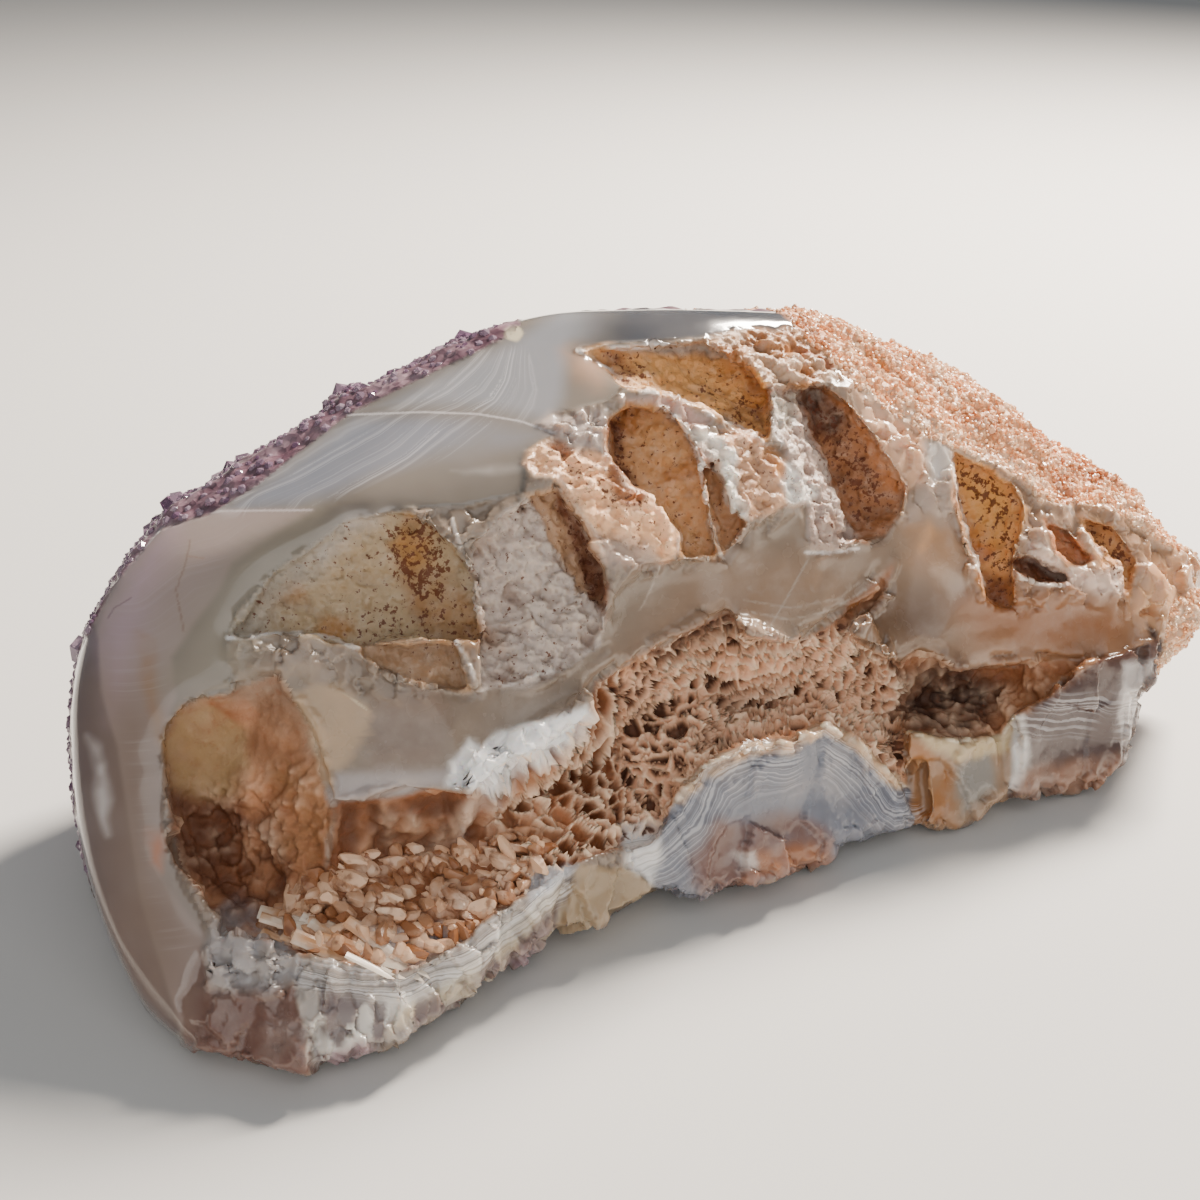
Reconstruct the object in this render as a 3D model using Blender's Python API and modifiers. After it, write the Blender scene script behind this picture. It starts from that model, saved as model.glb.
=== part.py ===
# An amethyst agate specimen: one natural piece of a broken nodule, about 12 cm long.
# The left end and brow are ground and polished in flat facets. The front carries the hollow casts of
# bladed crystals, then a smooth waist, then a long recess of brown boxwork over a banded lower lip.
# The back is a crust of amethyst points, and the upper right is a rough orange rind.

import math

import bmesh
import bpy
import numpy as np
from mathutils import Matrix, Vector
from mathutils.bvhtree import BVHTree
from mathutils.geometry import delaunay_2d_cdt

MM = 0.001

# The front is drawn as it is seen from one station, on a square picture of PICTURE_SIDE units.
# Outlines below are picture coordinates, x to the right and y down. Depths are millimetres.
PICTURE_SIDE = 1200
PICTURE_ANGLE = math.radians(40)
STATION_PITCH = math.radians(26)
STATION_DISTANCE = 165 * MM
STATION_TARGET = Vector((0, 0, 26 * MM))

# Where the middle of the stone's box lies in the drawing frame, which becomes the origin.
STONE_MIDDLE = Vector((9.9 * MM, 1.8 * MM, 0))

VOXEL = 0.9 * MM
ROUGH_TRIANGLES = 6300
TOOL_REACH = 14 * MM  # how far a carving tool starts in front of the skin
FOOT_LEVEL = 0.0  # the flat that the stone rests on

# Sections across the stone: the distance along it, then (y, z) points in millimetres, from the front
# foot up the front, over the ridge, down the back and under.
SECTIONS = [
    (-53, [(-10, 7), (-15, 9), (-17, 14), (-15, 20), (-10, 24), (-5, 25), (-1, 22), (1, 15), (-1, 9), (-5, 6)]),
    (-48, [(-22, 0), (-28, 7), (-28, 15), (-22, 23), (-13, 29), (-4, 32), (4, 29), (8, 18), (5, 6), (-8, 0)]),
    (-38, [(-36, 0), (-37, 6), (-33, 15), (-26, 25), (-15, 34), (0, 39), (11, 35), (16, 20), (12, 4), (-12, -2)]),
    (-27, [(-41, 0), (-40, 7), (-35, 16), (-27, 27), (-15, 38), (3, 45), (15, 41), (22, 24), (18, 4), (-11, -2.5)]),
    (-14, [(-34, 0), (-34, 8), (-29, 18), (-21, 30), (-10, 42), (9, 50), (22, 45), (30, 26), (25, 4), (-3, -2.5)]),
    (0, [(-22, 0), (-22, 8), (-19, 20), (-14, 32), (-5, 44), (14, 52), (29, 47), (36, 28), (31, 4), (6, -2.5)]),
    (15, [(-15, 0), (-14, 9), (-11, 21), (-6, 33), (4, 45), (20, 52), (34, 46), (40, 28), (35, 4), (12, -2.5)]),
    (32, [(-5, 0), (-4, 9), (-1, 19), (4, 30), (12, 40), (25, 46), (37, 41), (42, 25), (37, 4), (18, -2.5)]),
    (46, [(1, 0), (2, 8), (2, 16), (7, 26), (15, 34), (25, 39), (35, 35), (40, 21), (35, 4), (19, -2)]),
    (58, [(6, 0), (6, 7), (7, 14), (11, 21), (17, 28), (24, 31), (31, 27), (35, 17), (30, 4), (19, -1)]),
    (67, [(16, 3), (13, 8), (13, 13), (15, 18), (19, 22), (24, 23), (28, 20), (30, 14), (28, 8), (22, 4)]),
    (73, [(20, 10), (18, 12), (17, 15), (18, 18), (21, 20), (24, 20), (26, 18), (27, 14), (26, 11), (22, 10)]),
]
SECTION_STEPS = 5  # rings between two sections
AROUND_STEPS = 5  # points between two points of a section

# The outline of the stone as seen from the station, clockwise from the lower left.
SILHOUETTE = [
    (191, 1049), (145, 1010), (110, 940), (89, 879), (73, 774), (71, 716), (79, 655), (106, 598),
    (137, 548), (167, 512), (214, 481), (260, 451), (295, 432), (302, 425), (314, 422), (329, 403),
    (352, 386), (367, 389), (392, 375), (434, 354), (472, 336), (505, 324), (570, 311), (670, 309),
    (796, 313), (841, 319), (853, 331), (878, 344), (920, 355), (980, 392), (1013, 409), (1041, 438),
    (1066, 455), (1125, 485), (1140, 500), (1138, 508), (1157, 531), (1198, 563), (1195, 625),
    (1179, 645), (1155, 661), (1152, 682), (1134, 702), (1129, 732), (1117, 761), (1100, 780),
    (1048, 791), (1012, 791), (987, 800), (968, 828), (945, 830), (920, 822), (865, 830), (832, 841),
    (830, 855), (799, 867), (751, 880), (697, 895), (657, 886), (630, 905), (584, 930), (547, 931),
    (520, 957), (482, 980), (430, 1018), (388, 1037), (350, 1051), (312, 1068), (264, 1066),
    (229, 1054),
]
CONE_NEAR, CONE_FAR = 80 * MM, 290 * MM
GRINDER = 90 * MM  # half the side of the block that grinds a flat

# Ground and polished flats, each a plane through three picture points of the skin.
FLATS = {
    "brow": ((345, 416), (556, 430), (600, 320)),
    "shoulder": ((165, 524), (330, 508), (445, 415)),
    "cheek": ((99, 662), (306, 512), (182, 1018)),
}

# Hollows: outline points (x, y, depth), then points inside with their own depth.
HOLLOWS = {
    "waist": (
        [(236, 652, 0.2), (330, 668, 0.6), (430, 690, 1.2), (540, 680, 1.8), (600, 640, 2.4),
         (618, 585, 2.6), (662, 568, 3.0), (722, 556, 3.0), (752, 528, 2.6), (812, 500, 2.0),
         (842, 548, 2.4), (905, 515, 1.4), (955, 505, 1.0), (978, 600, 1.6), (1040, 606, 1.8),
         (1120, 596, 1.2), (1150, 640, 0.8), (1095, 660, 2.2), (1000, 668, 2.6), (900, 664, 2.8),
         (860, 606, 3.0), (790, 640, 3.2), (728, 612, 3.4), (650, 650, 3.0), (590, 690, 2.6),
         (548, 722, 2.2), (446, 792, 1.8), (330, 806, 1.4), (300, 740, 0.8), (232, 690, 0.4)],
        [(700, 590, 3.8), (900, 600, 2.8), (420, 740, 2.0)],
    ),
    "large_cast": (
        [(228, 638, 0.6), (276, 573, 0.8), (322, 542, 0.8), (347, 521, 0.8), (410, 510, 1.6),
         (452, 546, 3.2), (473, 571, 4.4), (482, 642, 5.2), (410, 639, 5.2), (352, 646, 4.6),
         (295, 634, 3.2)],
        [(400, 590, 4.2), (300, 600, 2.4)],
    ),
    "under_ledge": (
        [(352, 646, 2.0), (457, 642, 3.6), (470, 690, 3.2), (420, 684, 2.6), (380, 668, 2.0)],
        [],
    ),
    "grey_cast": (
        [(470, 548, 2.4), (524, 500, 1.4), (545, 520, 3.0), (580, 590, 3.6), (604, 604, 3.6),
         (598, 650, 2.2), (540, 680, 1.8), (480, 690, 2.4), (482, 620, 4.8)],
        [(520, 600, 4.4)],
    ),
    "leaf_cast": (
        [(524, 495, 2.0), (555, 487, 3.2), (578, 520, 5.0), (605, 568, 5.4), (604, 606, 4.6),
         (574, 587, 4.2), (545, 530, 3.2)],
        [],
    ),
    "big_leaf_cast": (
        [(624, 401, 5.0), (608, 422, 6.4), (608, 457, 6.8), (631, 484, 6.0), (656, 507, 5.4),
         (677, 530, 4.8), (680, 557, 3.6), (716, 557, 3.2), (706, 510, 3.2), (698, 453, 2.6),
         (683, 426, 2.6), (650, 402, 3.0)],
        [(655, 460, 5.4)],
    ),
    "thin_wedge_cast": (
        [(702, 462, 4.8), (716, 455, 3.2), (725, 483, 2.8), (728, 504, 2.6), (747, 523, 2.4),
         (722, 557, 3.2), (712, 520, 5.0)],
        [],
    ),
    "top_cast": (
        [(577, 352, 0.8), (623, 347, 2.6), (667, 345, 3.6), (700, 343, 4.2), (752, 366, 4.4),
         (771, 390, 4.0), (768, 444, 3.0), (746, 435, 3.2), (725, 419, 3.6), (700, 406, 3.8),
         (665, 393, 3.6), (629, 389, 2.6)],
        [(700, 372, 5.6), (740, 400, 5.0)],
    ),
    "brown_blade_cast": (
        [(770, 387, 0.8), (803, 388, 4.6), (824, 385, 2.6), (849, 407, 2.2), (868, 430, 1.8),
         (891, 463, 1.6), (905, 487, 1.4), (901, 516, 1.8), (884, 538, 3.0), (851, 540, 5.2),
         (812, 548, 2.2), (806, 500, 1.2), (790, 450, 1.0)],
        [(812, 410, 6.4), (832, 470, 7.0), (850, 520, 6.6)],
    ),
    "right_cast": (
        [(951, 449, 4.4), (990, 468, 2.4), (1010, 484, 2.2), (1024, 508, 2.0), (1018, 535, 2.4),
         (1010, 562, 3.6), (1014, 608, 2.4), (997, 609, 3.2), (984, 600, 4.8), (976, 568, 6.0),
         (967, 539, 6.4), (957, 501, 6.2)],
        [(990, 530, 5.2)],
    ),
    "slot": (
        [(1006, 561, 3.4), (1030, 556, 4.4), (1072, 572, 4.0), (1070, 584, 3.0), (1030, 580, 3.4)],
        [],
    ),
    "small_pocket": (
        [(1043, 518, 3.0), (1066, 532, 3.4), (1097, 560, 2.2), (1078, 566, 2.4), (1052, 548, 3.4)],
        [],
    ),
    "right_blade_cast": (
        [(1076, 514, 3.6), (1112, 530, 1.8), (1136, 560, 1.2), (1128, 600, 1.4), (1112, 590, 2.6),
         (1098, 556, 3.8), (1084, 536, 4.4)],
        [],
    ),
    "left_cavity": (
        [(224, 690, 1.2), (186, 703, 1.6), (167, 726, 2.0), (163, 755, 3.0), (167, 812, 4.4),
         (175, 860, 4.6), (194, 889, 4.0), (222, 930, 3.0), (262, 944, 4.0), (300, 920, 6.0),
         (330, 870, 5.4), (334, 806, 3.2), (318, 740, 1.6), (286, 668, 0.6)],
        [(222, 840, 9.5), (205, 780, 6.5), (240, 730, 4.6), (285, 800, 4.6), (260, 880, 9.0),
         (296, 850, 5.0)],
    ),
    "recess": (
        [(225, 925, 2.6), (300, 880, 6.0), (328, 860, 6.0), (332, 802, 3.6), (415, 789, 4.6),
         (476, 789, 5.0), (500, 762, 4.6), (552, 742, 4.4), (584, 712, 3.6), (592, 681, 3.8),
         (656, 643, 4.6), (728, 609, 5.0), (751, 635, 5.0), (790, 640, 5.0), (843, 614, 5.0),
         (893, 566, 3.0), (884, 600, 4.0), (850, 632, 5.4), (899, 661, 6.4), (922, 646, 5.6),
         (958, 667, 6.2), (1023, 661, 5.6), (1092, 655, 2.4), (1071, 676, 2.0), (1043, 702, 1.8),
         (1014, 716, 2.0), (1000, 738, 2.6), (956, 740, 2.6), (908, 733, 3.4), (904, 786, 2.2),
         (862, 746, 1.6), (824, 724, 2.0), (790, 743, 1.6), (747, 745, 1.6), (702, 766, 1.8),
         (679, 800, 1.8), (658, 838, 1.6), (577, 862, 1.4), (520, 896, 1.2), (465, 944, 1.0),
         (400, 974, 1.0), (330, 962, 1.4), (262, 944, 2.0)],
        [(400, 850, 11.0), (460, 840, 10.0), (520, 800, 7.4), (600, 760, 8.0), (700, 680, 9.0),
         (735, 712, 10.5), (820, 690, 8.0), (880, 720, 8.5), (940, 700, 11.0), (1000, 690, 9.0),
         (380, 910, 5.0), (450, 890, 5.6), (600, 820, 4.4), (650, 790, 5.6), (860, 650, 8.0)],
    ),
}

# Notches that break the lower lip into blocks, in the same form.
LIP_NOTCHES = {
    "first_notch": ([(566, 868, 1.4), (580, 862, 1.4), (562, 935, 2.6), (546, 935, 2.6)], []),
    "second_notch": ([(896, 776, 3.4), (924, 756, 3.4), (930, 812, 2.6), (916, 830, 3.0)], []),
    "third_notch": ([(1000, 736, 2.4), (1022, 708, 2.4), (1018, 798, 2.0), (998, 800, 2.6)], []),
}

# The rough orange rind, and grooves in it.
RIND_AREA = [
    (760, 300), (830, 372), (904, 430), (950, 448), (1013, 472), (1041, 501), (1099, 505),
    (1150, 560), (1215, 560), (1215, 300),
]
RIND_ROUGHNESS = 0.55 * MM
BOXWORK_ROUGHNESS = 0.9 * MM
CAST_ROUGHNESS = 0.22 * MM

# The polished area keeps its smooth skin.
POLISHED_AREA = [
    (60, 560), (120, 470), (420, 330), (520, 300), (800, 300), (790, 332), (700, 338), (577, 350),
    (600, 400), (545, 440), (520, 490), (410, 505), (320, 538), (250, 590), (224, 640), (224, 686),
    (166, 722), (160, 800), (190, 900), (220, 950), (215, 1010), (190, 1060), (60, 1060),
]

# Amethyst points crowd on the back: the distance between them, and the height and half width of one.
POINT_SPACING = 7.0 * MM
POINT_HEIGHT = 3.4 * MM
POINT_ROOT = 2.2 * MM  # how deep a point is rooted in the crust
POINT_RADIUS = 6.0 * MM
POINT_SIDES = 6
POINT_SEED = 7
POINT_LOWEST = 6 * MM
POINT_FACING = 0.5  # least share of the crust's normal that is turned to the back
RIND_START = Vector((30 * MM, 0, 24 * MM))  # beyond this, to the right and up, the back is rind

forward = Vector((0, math.cos(STATION_PITCH), -math.sin(STATION_PITCH)))
upward = Vector((0, math.sin(STATION_PITCH), math.cos(STATION_PITCH)))
station = STATION_TARGET - forward * STATION_DISTANCE
picture_focus = PICTURE_SIDE / 2 / math.tan(PICTURE_ANGLE / 2)


def clear_scene():
    for obj in list(bpy.data.objects):
        bpy.data.objects.remove(obj, do_unlink=True)


def new_collection(name):
    collection = bpy.data.collections.new(name)
    bpy.context.scene.collection.children.link(collection)
    return collection


def sight_line(x, y):
    """The direction from the station through a picture point."""
    right = x - PICTURE_SIDE / 2
    up = PICTURE_SIDE / 2 - y
    return (forward * picture_focus + Vector((1, 0, 0)) * right + upward * up).normalized()


def picture_points(points):
    """Picture coordinates of world points."""
    offset = points - np.array(station)
    ahead = offset @ np.array(forward)
    x = PICTURE_SIDE / 2 + picture_focus * offset[:, 0] / ahead
    y = PICTURE_SIDE / 2 - picture_focus * (offset @ np.array(upward)) / ahead
    return x, y


def distance_inside(x, y, outline):
    """How far picture points lie inside an outline, negative outside."""
    inside = np.zeros(len(x), bool)
    nearest = np.full(len(x), np.inf)
    for (ax, ay), (bx, by) in zip(outline, outline[1:] + outline[:1]):
        across = (ay > y) != (by > y)
        height = by - ay if by != ay else 1e-9
        inside ^= across & (x < (bx - ax) * (y - ay) / height + ax)
        length = max((bx - ax) ** 2 + (by - ay) ** 2, 1e-9)
        share = np.clip(((x - ax) * (bx - ax) + (y - ay) * (by - ay)) / length, 0, 1)
        nearest = np.minimum(nearest, np.hypot(x - ax - share * (bx - ax), y - ay - share * (by - ay)))
    return np.where(inside, nearest, -nearest)


def lattice_value(cell, seed):
    """A fixed number from 0 to 1 for each lattice cell."""
    mixed = cell[..., 0] * 73856093 ^ cell[..., 1] * 19349663 ^ cell[..., 2] * 83492791 ^ seed * 2654435
    mixed = (mixed ^ (mixed >> 13)) * 1274126177 & 0x7FFFFFFF
    return ((mixed ^ (mixed >> 16)) & 0xFFFF) / 0xFFFF


def lumps(points, size, seed):
    """Smooth noise from -1 to 1 whose lumps are about size across."""
    scaled = points / size
    base = np.floor(scaled).astype(np.int64)
    share = scaled - base
    share = share * share * (3 - 2 * share)
    total = np.zeros(len(points))
    for corner in range(8):
        step = np.array([corner & 1, corner >> 1 & 1, corner >> 2 & 1])
        weight = np.prod(np.where(step, share, 1 - share), axis=1)
        total += weight * lattice_value(base + step, seed)
    return total * 2 - 1


def crumbs(points, size, seed):
    """Noise from 0 at the middle of a crumb to about 1 at its rim, crumbs about size across."""
    scaled = points / size
    base = np.floor(scaled).astype(np.int64)
    nearest = np.full(len(points), np.inf)
    for index in range(27):
        step = np.array([index % 3 - 1, index // 3 % 3 - 1, index // 9 - 1])
        cell = base + step
        middle = cell + np.stack([lattice_value(cell, seed + k) for k in range(3)], axis=1)
        nearest = np.minimum(nearest, np.linalg.norm(scaled - middle, axis=1))
    return np.clip(nearest, 0, 1)


def smooth_between(a, b, c, d, share):
    """A curve from b to c that also heeds their neighbours."""
    return 0.5 * (
        2 * b + (c - a) * share + (2 * a - 5 * b + 4 * c - d) * share**2 + (3 * b - a - 3 * c + d) * share**3
    )


def loft_stone(collection):
    """The stone before carving, through all its sections."""
    rings = []
    for x, profile in SECTIONS:
        count = len(profile)
        ring = []
        for k in range(count):
            a, b, c, d = (np.array(profile[(k + n) % count], float) for n in (-1, 0, 1, 2))
            for step in range(AROUND_STEPS):
                y, z = smooth_between(a, b, c, d, step / AROUND_STEPS)
                ring.append((x, y, z))
        rings.append(np.array(ring))
    lofted = []
    last = len(rings) - 1
    for k in range(last):
        a, b, c, d = (rings[min(max(k + n, 0), last)] for n in (-1, 0, 1, 2))
        for step in range(SECTION_STEPS):
            lofted.append(smooth_between(a, b, c, d, step / SECTION_STEPS))
    lofted.append(rings[last])
    bm = bmesh.new()
    grid = [[bm.verts.new(Vector(point) * MM) for point in ring] for ring in lofted]
    around = len(grid[0])
    for first, second in zip(grid, grid[1:]):
        for k in range(around):
            bm.faces.new((first[k], first[(k + 1) % around], second[(k + 1) % around], second[k]))
    bm.faces.new(grid[0])
    bm.faces.new(reversed(grid[-1]))
    return finish_mesh("agate_specimen", bm, collection)


def finish_mesh(name, bm, collection):
    """Makes an object from a bmesh, faces turned outward."""
    bmesh.ops.triangulate(bm, faces=[face for face in bm.faces if len(face.verts) > 4])
    bmesh.ops.recalc_face_normals(bm, faces=bm.faces)
    mesh = bpy.data.meshes.new(name)
    bm.to_mesh(mesh)
    bm.free()
    obj = bpy.data.objects.new(name, mesh)
    collection.objects.link(obj)
    return obj


def as_cutter(obj):
    obj.hide_render = True
    obj.display_type = "WIRE"
    return obj


def silhouette_cone(collection):
    """A cone from the station through the silhouette."""
    bm = bmesh.new()
    near = [bm.verts.new(station + sight_line(x, y) * CONE_NEAR) for x, y in SILHOUETTE]
    far = [bm.verts.new(station + sight_line(x, y) * CONE_FAR) for x, y in SILHOUETTE]
    count = len(near)
    for k in range(count):
        bm.faces.new((near[k], near[(k + 1) % count], far[(k + 1) % count], far[k]))
    bm.faces.new(near)
    bm.faces.new(reversed(far))
    return as_cutter(finish_mesh("silhouette_cone", bm, collection))


def skin_distances(skin, outline):
    """How far the skin is from the station along each sight line."""
    found = []
    for x, y, _ in outline:
        hit = skin.ray_cast(station, sight_line(x, y))
        found.append(hit[3])
    known = [distance for distance in found if distance]
    spare = sum(known) / len(known)
    return [distance or spare for distance in found]


def carving_tool(name, outline, inner, skin, collection):
    """A tool that cuts the outline from the front, down to the depth given at each point."""
    points = outline + inner
    count = len(outline)
    edges = [(k, (k + 1) % count) for k in range(count)]
    flat = [Vector((x, y)) for x, y, _ in points]
    verts, _, faces, origin, _, _ = delaunay_2d_cdt(flat, edges, [list(range(count))], 1, 1e-4)
    source = [points[ids[0]] for ids in origin]
    distances = skin_distances(skin, source)
    bm = bmesh.new()
    front, back = [], []
    for (x, y, depth), distance in zip(source, distances):
        direction = sight_line(x, y)
        front.append(bm.verts.new(station + direction * (distance - TOOL_REACH)))
        back.append(bm.verts.new(station + direction * (distance + depth * MM)))
    sides = set()
    for face in faces:
        bm.faces.new([front[k] for k in face])
        bm.faces.new([back[k] for k in reversed(face)])
        for a, b in zip(face, face[1:] + face[:1]):
            sides ^= {(b, a)} if (b, a) in sides else {(a, b)}
    for a, b in sides:
        bm.faces.new((front[b], front[a], back[a], back[b]))
    return as_cutter(finish_mesh(name, bm, collection))


def evaluated_mesh(obj):
    graph = bpy.context.evaluated_depsgraph_get()
    return bpy.data.meshes.new_from_object(obj.evaluated_get(graph))


def settle(obj):
    """Replaces an object's mesh by what its modifiers make of it."""
    mesh = evaluated_mesh(obj)
    obj.modifiers.clear()
    old = obj.data
    obj.data = mesh
    bpy.data.meshes.remove(old)


def cut(obj, tool, operation="DIFFERENCE", self_crossing=False):
    modifier = obj.modifiers.new(tool.name, "BOOLEAN")
    modifier.operation = operation
    modifier.solver = "EXACT"
    modifier.use_self = self_crossing
    modifier.object = tool
    settle(obj)


def block(name, low, high, collection):
    """A plain box between two corners."""
    bm = bmesh.new()
    bmesh.ops.create_cube(bm, size=1)
    size = Vector(high) - Vector(low)
    bmesh.ops.scale(bm, verts=bm.verts, vec=size)
    bmesh.ops.translate(bm, verts=bm.verts, vec=(Vector(high) + Vector(low)) / 2)
    return as_cutter(finish_mesh(name, bm, collection))


def grind_flats(stone, collection):
    """Takes each polished flat off the stone with a block laid on its plane."""
    skin = tree_of(stone)
    for name, places in FLATS.items():
        first, second, third = (skin.ray_cast(station, sight_line(*place))[0] for place in places)
        normal = (second - first).cross(third - first).normalized()
        if normal.dot(station - first) < 0:
            normal.negate()
        wheel = block("ground_" + name, (-GRINDER, -GRINDER, 0), (GRINDER, GRINDER, GRINDER), collection)
        wheel.data.transform(Matrix.Translation(first) @ normal.to_track_quat("Z", "Y").to_matrix().to_4x4())
        cut(stone, wheel)


def tree_of(obj):
    bm = bmesh.new()
    bm.from_mesh(obj.data)
    tree = BVHTree.FromBMesh(bm)
    bm.free()
    return tree


def remesh(obj, voxel):
    modifier = obj.modifiers.new("even_mesh", "REMESH")
    modifier.mode = "VOXEL"
    modifier.voxel_size = voxel
    settle(obj)


def roughen(stone, skin):
    """Moves the surface in and out by zone: crumbs on the rind, spongy boxwork, fine grain on the casts."""
    mesh = stone.data
    count = len(mesh.vertices)
    points = np.empty(count * 3, np.float32)
    normals = np.empty(count * 3, np.float32)
    mesh.vertices.foreach_get("co", points)
    mesh.vertices.foreach_get("normal", normals)
    points = points.reshape(-1, 3).astype(float)
    normals = normals.reshape(-1, 3).astype(float)
    x, y = picture_points(points)
    depth = np.array([skin.find_nearest(Vector(point))[3] for point in points])
    facing = normals @ np.array(forward) < 0.35
    rind = (distance_inside(x, y, RIND_AREA) > 0) & (depth < 1.2 * MM)
    outline, _ = HOLLOWS["recess"]
    boxwork = (distance_inside(x, y, [(a, b) for a, b, _ in outline]) > 4) & facing & (depth > 1.5 * MM)
    polished = (distance_inside(x, y, POLISHED_AREA) > 0) & facing & (depth < 2.5 * MM)
    rough_casts = np.zeros(count, bool)
    for name, (outline, _) in HOLLOWS.items():
        if name not in ("waist", "recess"):
            rough_casts |= distance_inside(x, y, [(a, b) for a, b, _ in outline]) > 0
    casts = rough_casts & ~boxwork & facing & (depth > 0.8 * MM)
    move = lumps(points, 9 * MM, 11) * 0.35 * MM
    move += np.where(rind, (0.5 - crumbs(points, 3.0 * MM, 3)) * RIND_ROUGHNESS * 2, 0)
    move += np.where(boxwork, (0.5 - crumbs(points, 3.4 * MM, 5)) * BOXWORK_ROUGHNESS * 2.4, 0)
    move += np.where(casts, lumps(points, 2.4 * MM, 9) * CAST_ROUGHNESS * 2, 0)
    move[polished] = 0
    points += normals * move[:, None]
    mesh.vertices.foreach_set("co", points.astype(np.float32).ravel())
    mesh.update()


def thin_out(obj, triangles):
    """Collapses edges until about this many triangles are left."""
    obj.data.calc_loop_triangles()
    modifier = obj.modifiers.new("thin_out", "DECIMATE")
    modifier.ratio = triangles / len(obj.data.loop_triangles)
    modifier.use_collapse_triangulate = True
    settle(obj)


def amethyst_points(skin, collection):
    """Six-sided points that crowd on the back, each rooted in the crust."""
    rng = np.random.default_rng(POINT_SEED)
    bm = bmesh.new()
    across = np.arange(SECTIONS[0][0] * MM, SECTIONS[-1][0] * MM, POINT_SPACING)
    for row, z in enumerate(np.arange(POINT_LOWEST, 50 * MM, POINT_SPACING * 0.87)):
        for x in across + (row % 2) * POINT_SPACING / 2:
            shift = rng.uniform(-0.25, 0.25, 2) * POINT_SPACING
            size = rng.uniform(0.7, 1.1)
            lean = Vector(rng.uniform(-0.3, 0.3, 3))
            spin = rng.uniform(0, math.tau)
            origin = Vector((x + shift[0], 90 * MM, z + shift[1]))
            place, normal, _, _ = skin.ray_cast(origin, Vector((0, -1, 0)))
            if place is None or place.z < POINT_LOWEST or normal.y < POINT_FACING:
                continue
            if place.x > RIND_START.x and place.z > RIND_START.z:
                continue
            axis = (normal + lean).normalized()
            height = (POINT_HEIGHT + POINT_ROOT) * size
            turn = axis.to_track_quat("Z", "Y").to_matrix().to_4x4() @ Matrix.Rotation(spin, 4, "Z")
            middle = place + axis * (height / 2 - POINT_ROOT * size)
            bmesh.ops.create_cone(
                bm, cap_ends=True, segments=POINT_SIDES, radius1=POINT_RADIUS * size, radius2=0,
                depth=height, matrix=Matrix.Translation(middle) @ turn,
            )
    return as_cutter(finish_mesh("amethyst_points", bm, collection))


def agate_material():
    material = bpy.data.materials.new("agate")
    material.use_nodes = True
    shader = material.node_tree.nodes["Principled BSDF"]
    shader.inputs["Base Color"].default_value = (0.42, 0.34, 0.31, 1)
    shader.inputs["Roughness"].default_value = 0.35
    shader.inputs["Metallic"].default_value = 0
    return material


def build():
    clear_scene()
    parts = new_collection("amethyst_agate_specimen")
    tools = new_collection("carving_tools")
    stone = loft_stone(parts)
    cut(stone, silhouette_cone(tools), "INTERSECT")
    grind_flats(stone, tools)
    skin = tree_of(stone)
    for name, (outline, inner) in list(HOLLOWS.items()) + list(LIP_NOTCHES.items()):
        cut(stone, carving_tool(name, outline, inner, skin, tools))
    remesh(stone, VOXEL)
    roughen(stone, skin)
    thin_out(stone, ROUGH_TRIANGLES)
    cut(stone, amethyst_points(tree_of(stone), tools), "UNION", True)
    cut(stone, block("under_foot", (-0.1, -0.1, -0.02), (0.1, 0.1, FOOT_LEVEL), tools))
    stone.data.transform(Matrix.Translation(-STONE_MIDDLE))
    stone.data.materials.clear()
    stone.data.materials.append(agate_material())


build()
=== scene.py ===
import math

import bmesh
import bpy
import numpy as np
from mathutils import Matrix, Vector
from mathutils.bvhtree import BVHTree
from mathutils.geometry import delaunay_2d_cdt


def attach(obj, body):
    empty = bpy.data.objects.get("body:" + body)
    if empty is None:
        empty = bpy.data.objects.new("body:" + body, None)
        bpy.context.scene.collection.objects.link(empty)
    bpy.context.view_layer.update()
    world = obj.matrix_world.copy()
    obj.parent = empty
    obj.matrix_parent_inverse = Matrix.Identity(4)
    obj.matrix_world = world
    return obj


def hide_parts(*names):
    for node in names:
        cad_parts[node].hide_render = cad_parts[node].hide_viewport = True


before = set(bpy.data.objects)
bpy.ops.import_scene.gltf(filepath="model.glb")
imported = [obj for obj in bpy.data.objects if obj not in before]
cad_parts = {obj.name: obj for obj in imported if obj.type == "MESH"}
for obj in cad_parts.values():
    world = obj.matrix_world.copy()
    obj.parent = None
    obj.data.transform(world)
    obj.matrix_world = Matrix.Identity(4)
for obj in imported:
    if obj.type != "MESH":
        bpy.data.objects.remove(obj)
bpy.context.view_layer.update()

mm = 0.001
node = "agate_specimen"

# The front is drawn as seen from one station. Outlines are points of a square picture, x right and y down.
station = {
    "pictureSide": 1200,
    "angle": 40,  # degrees across the picture
    "pitch": 26,  # degrees that the sight axis looks down
    "distance": 165,  # millimetres to the target
    "target": (-9.9, -1.8, 26),  # a point inside the stone, millimetres
}
stoneMiddle = (9.9, 1.8)  # taken off every section, so that the stone's box stands over the origin

pitch = math.radians(station["pitch"])
forward = Vector((0, math.cos(pitch), -math.sin(pitch)))
upward = Vector((0, math.sin(pitch), math.cos(pitch)))
rightward = Vector((1, 0, 0))
eye = Vector(station["target"]) * mm - forward * station["distance"] * mm
half = station["pictureSide"] / 2
focus = half / math.tan(math.radians(station["angle"]) / 2)


def sightLine(x, y):
    return (forward * focus + rightward * (x - half) + upward * (half - y)).normalized()


def picturePoints(points):
    # where the station sees each point
    offset = points - np.array(eye)
    ahead = offset @ np.array(forward)
    return half + focus * offset[:, 0] / ahead, half - focus * (offset @ np.array(upward)) / ahead


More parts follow.
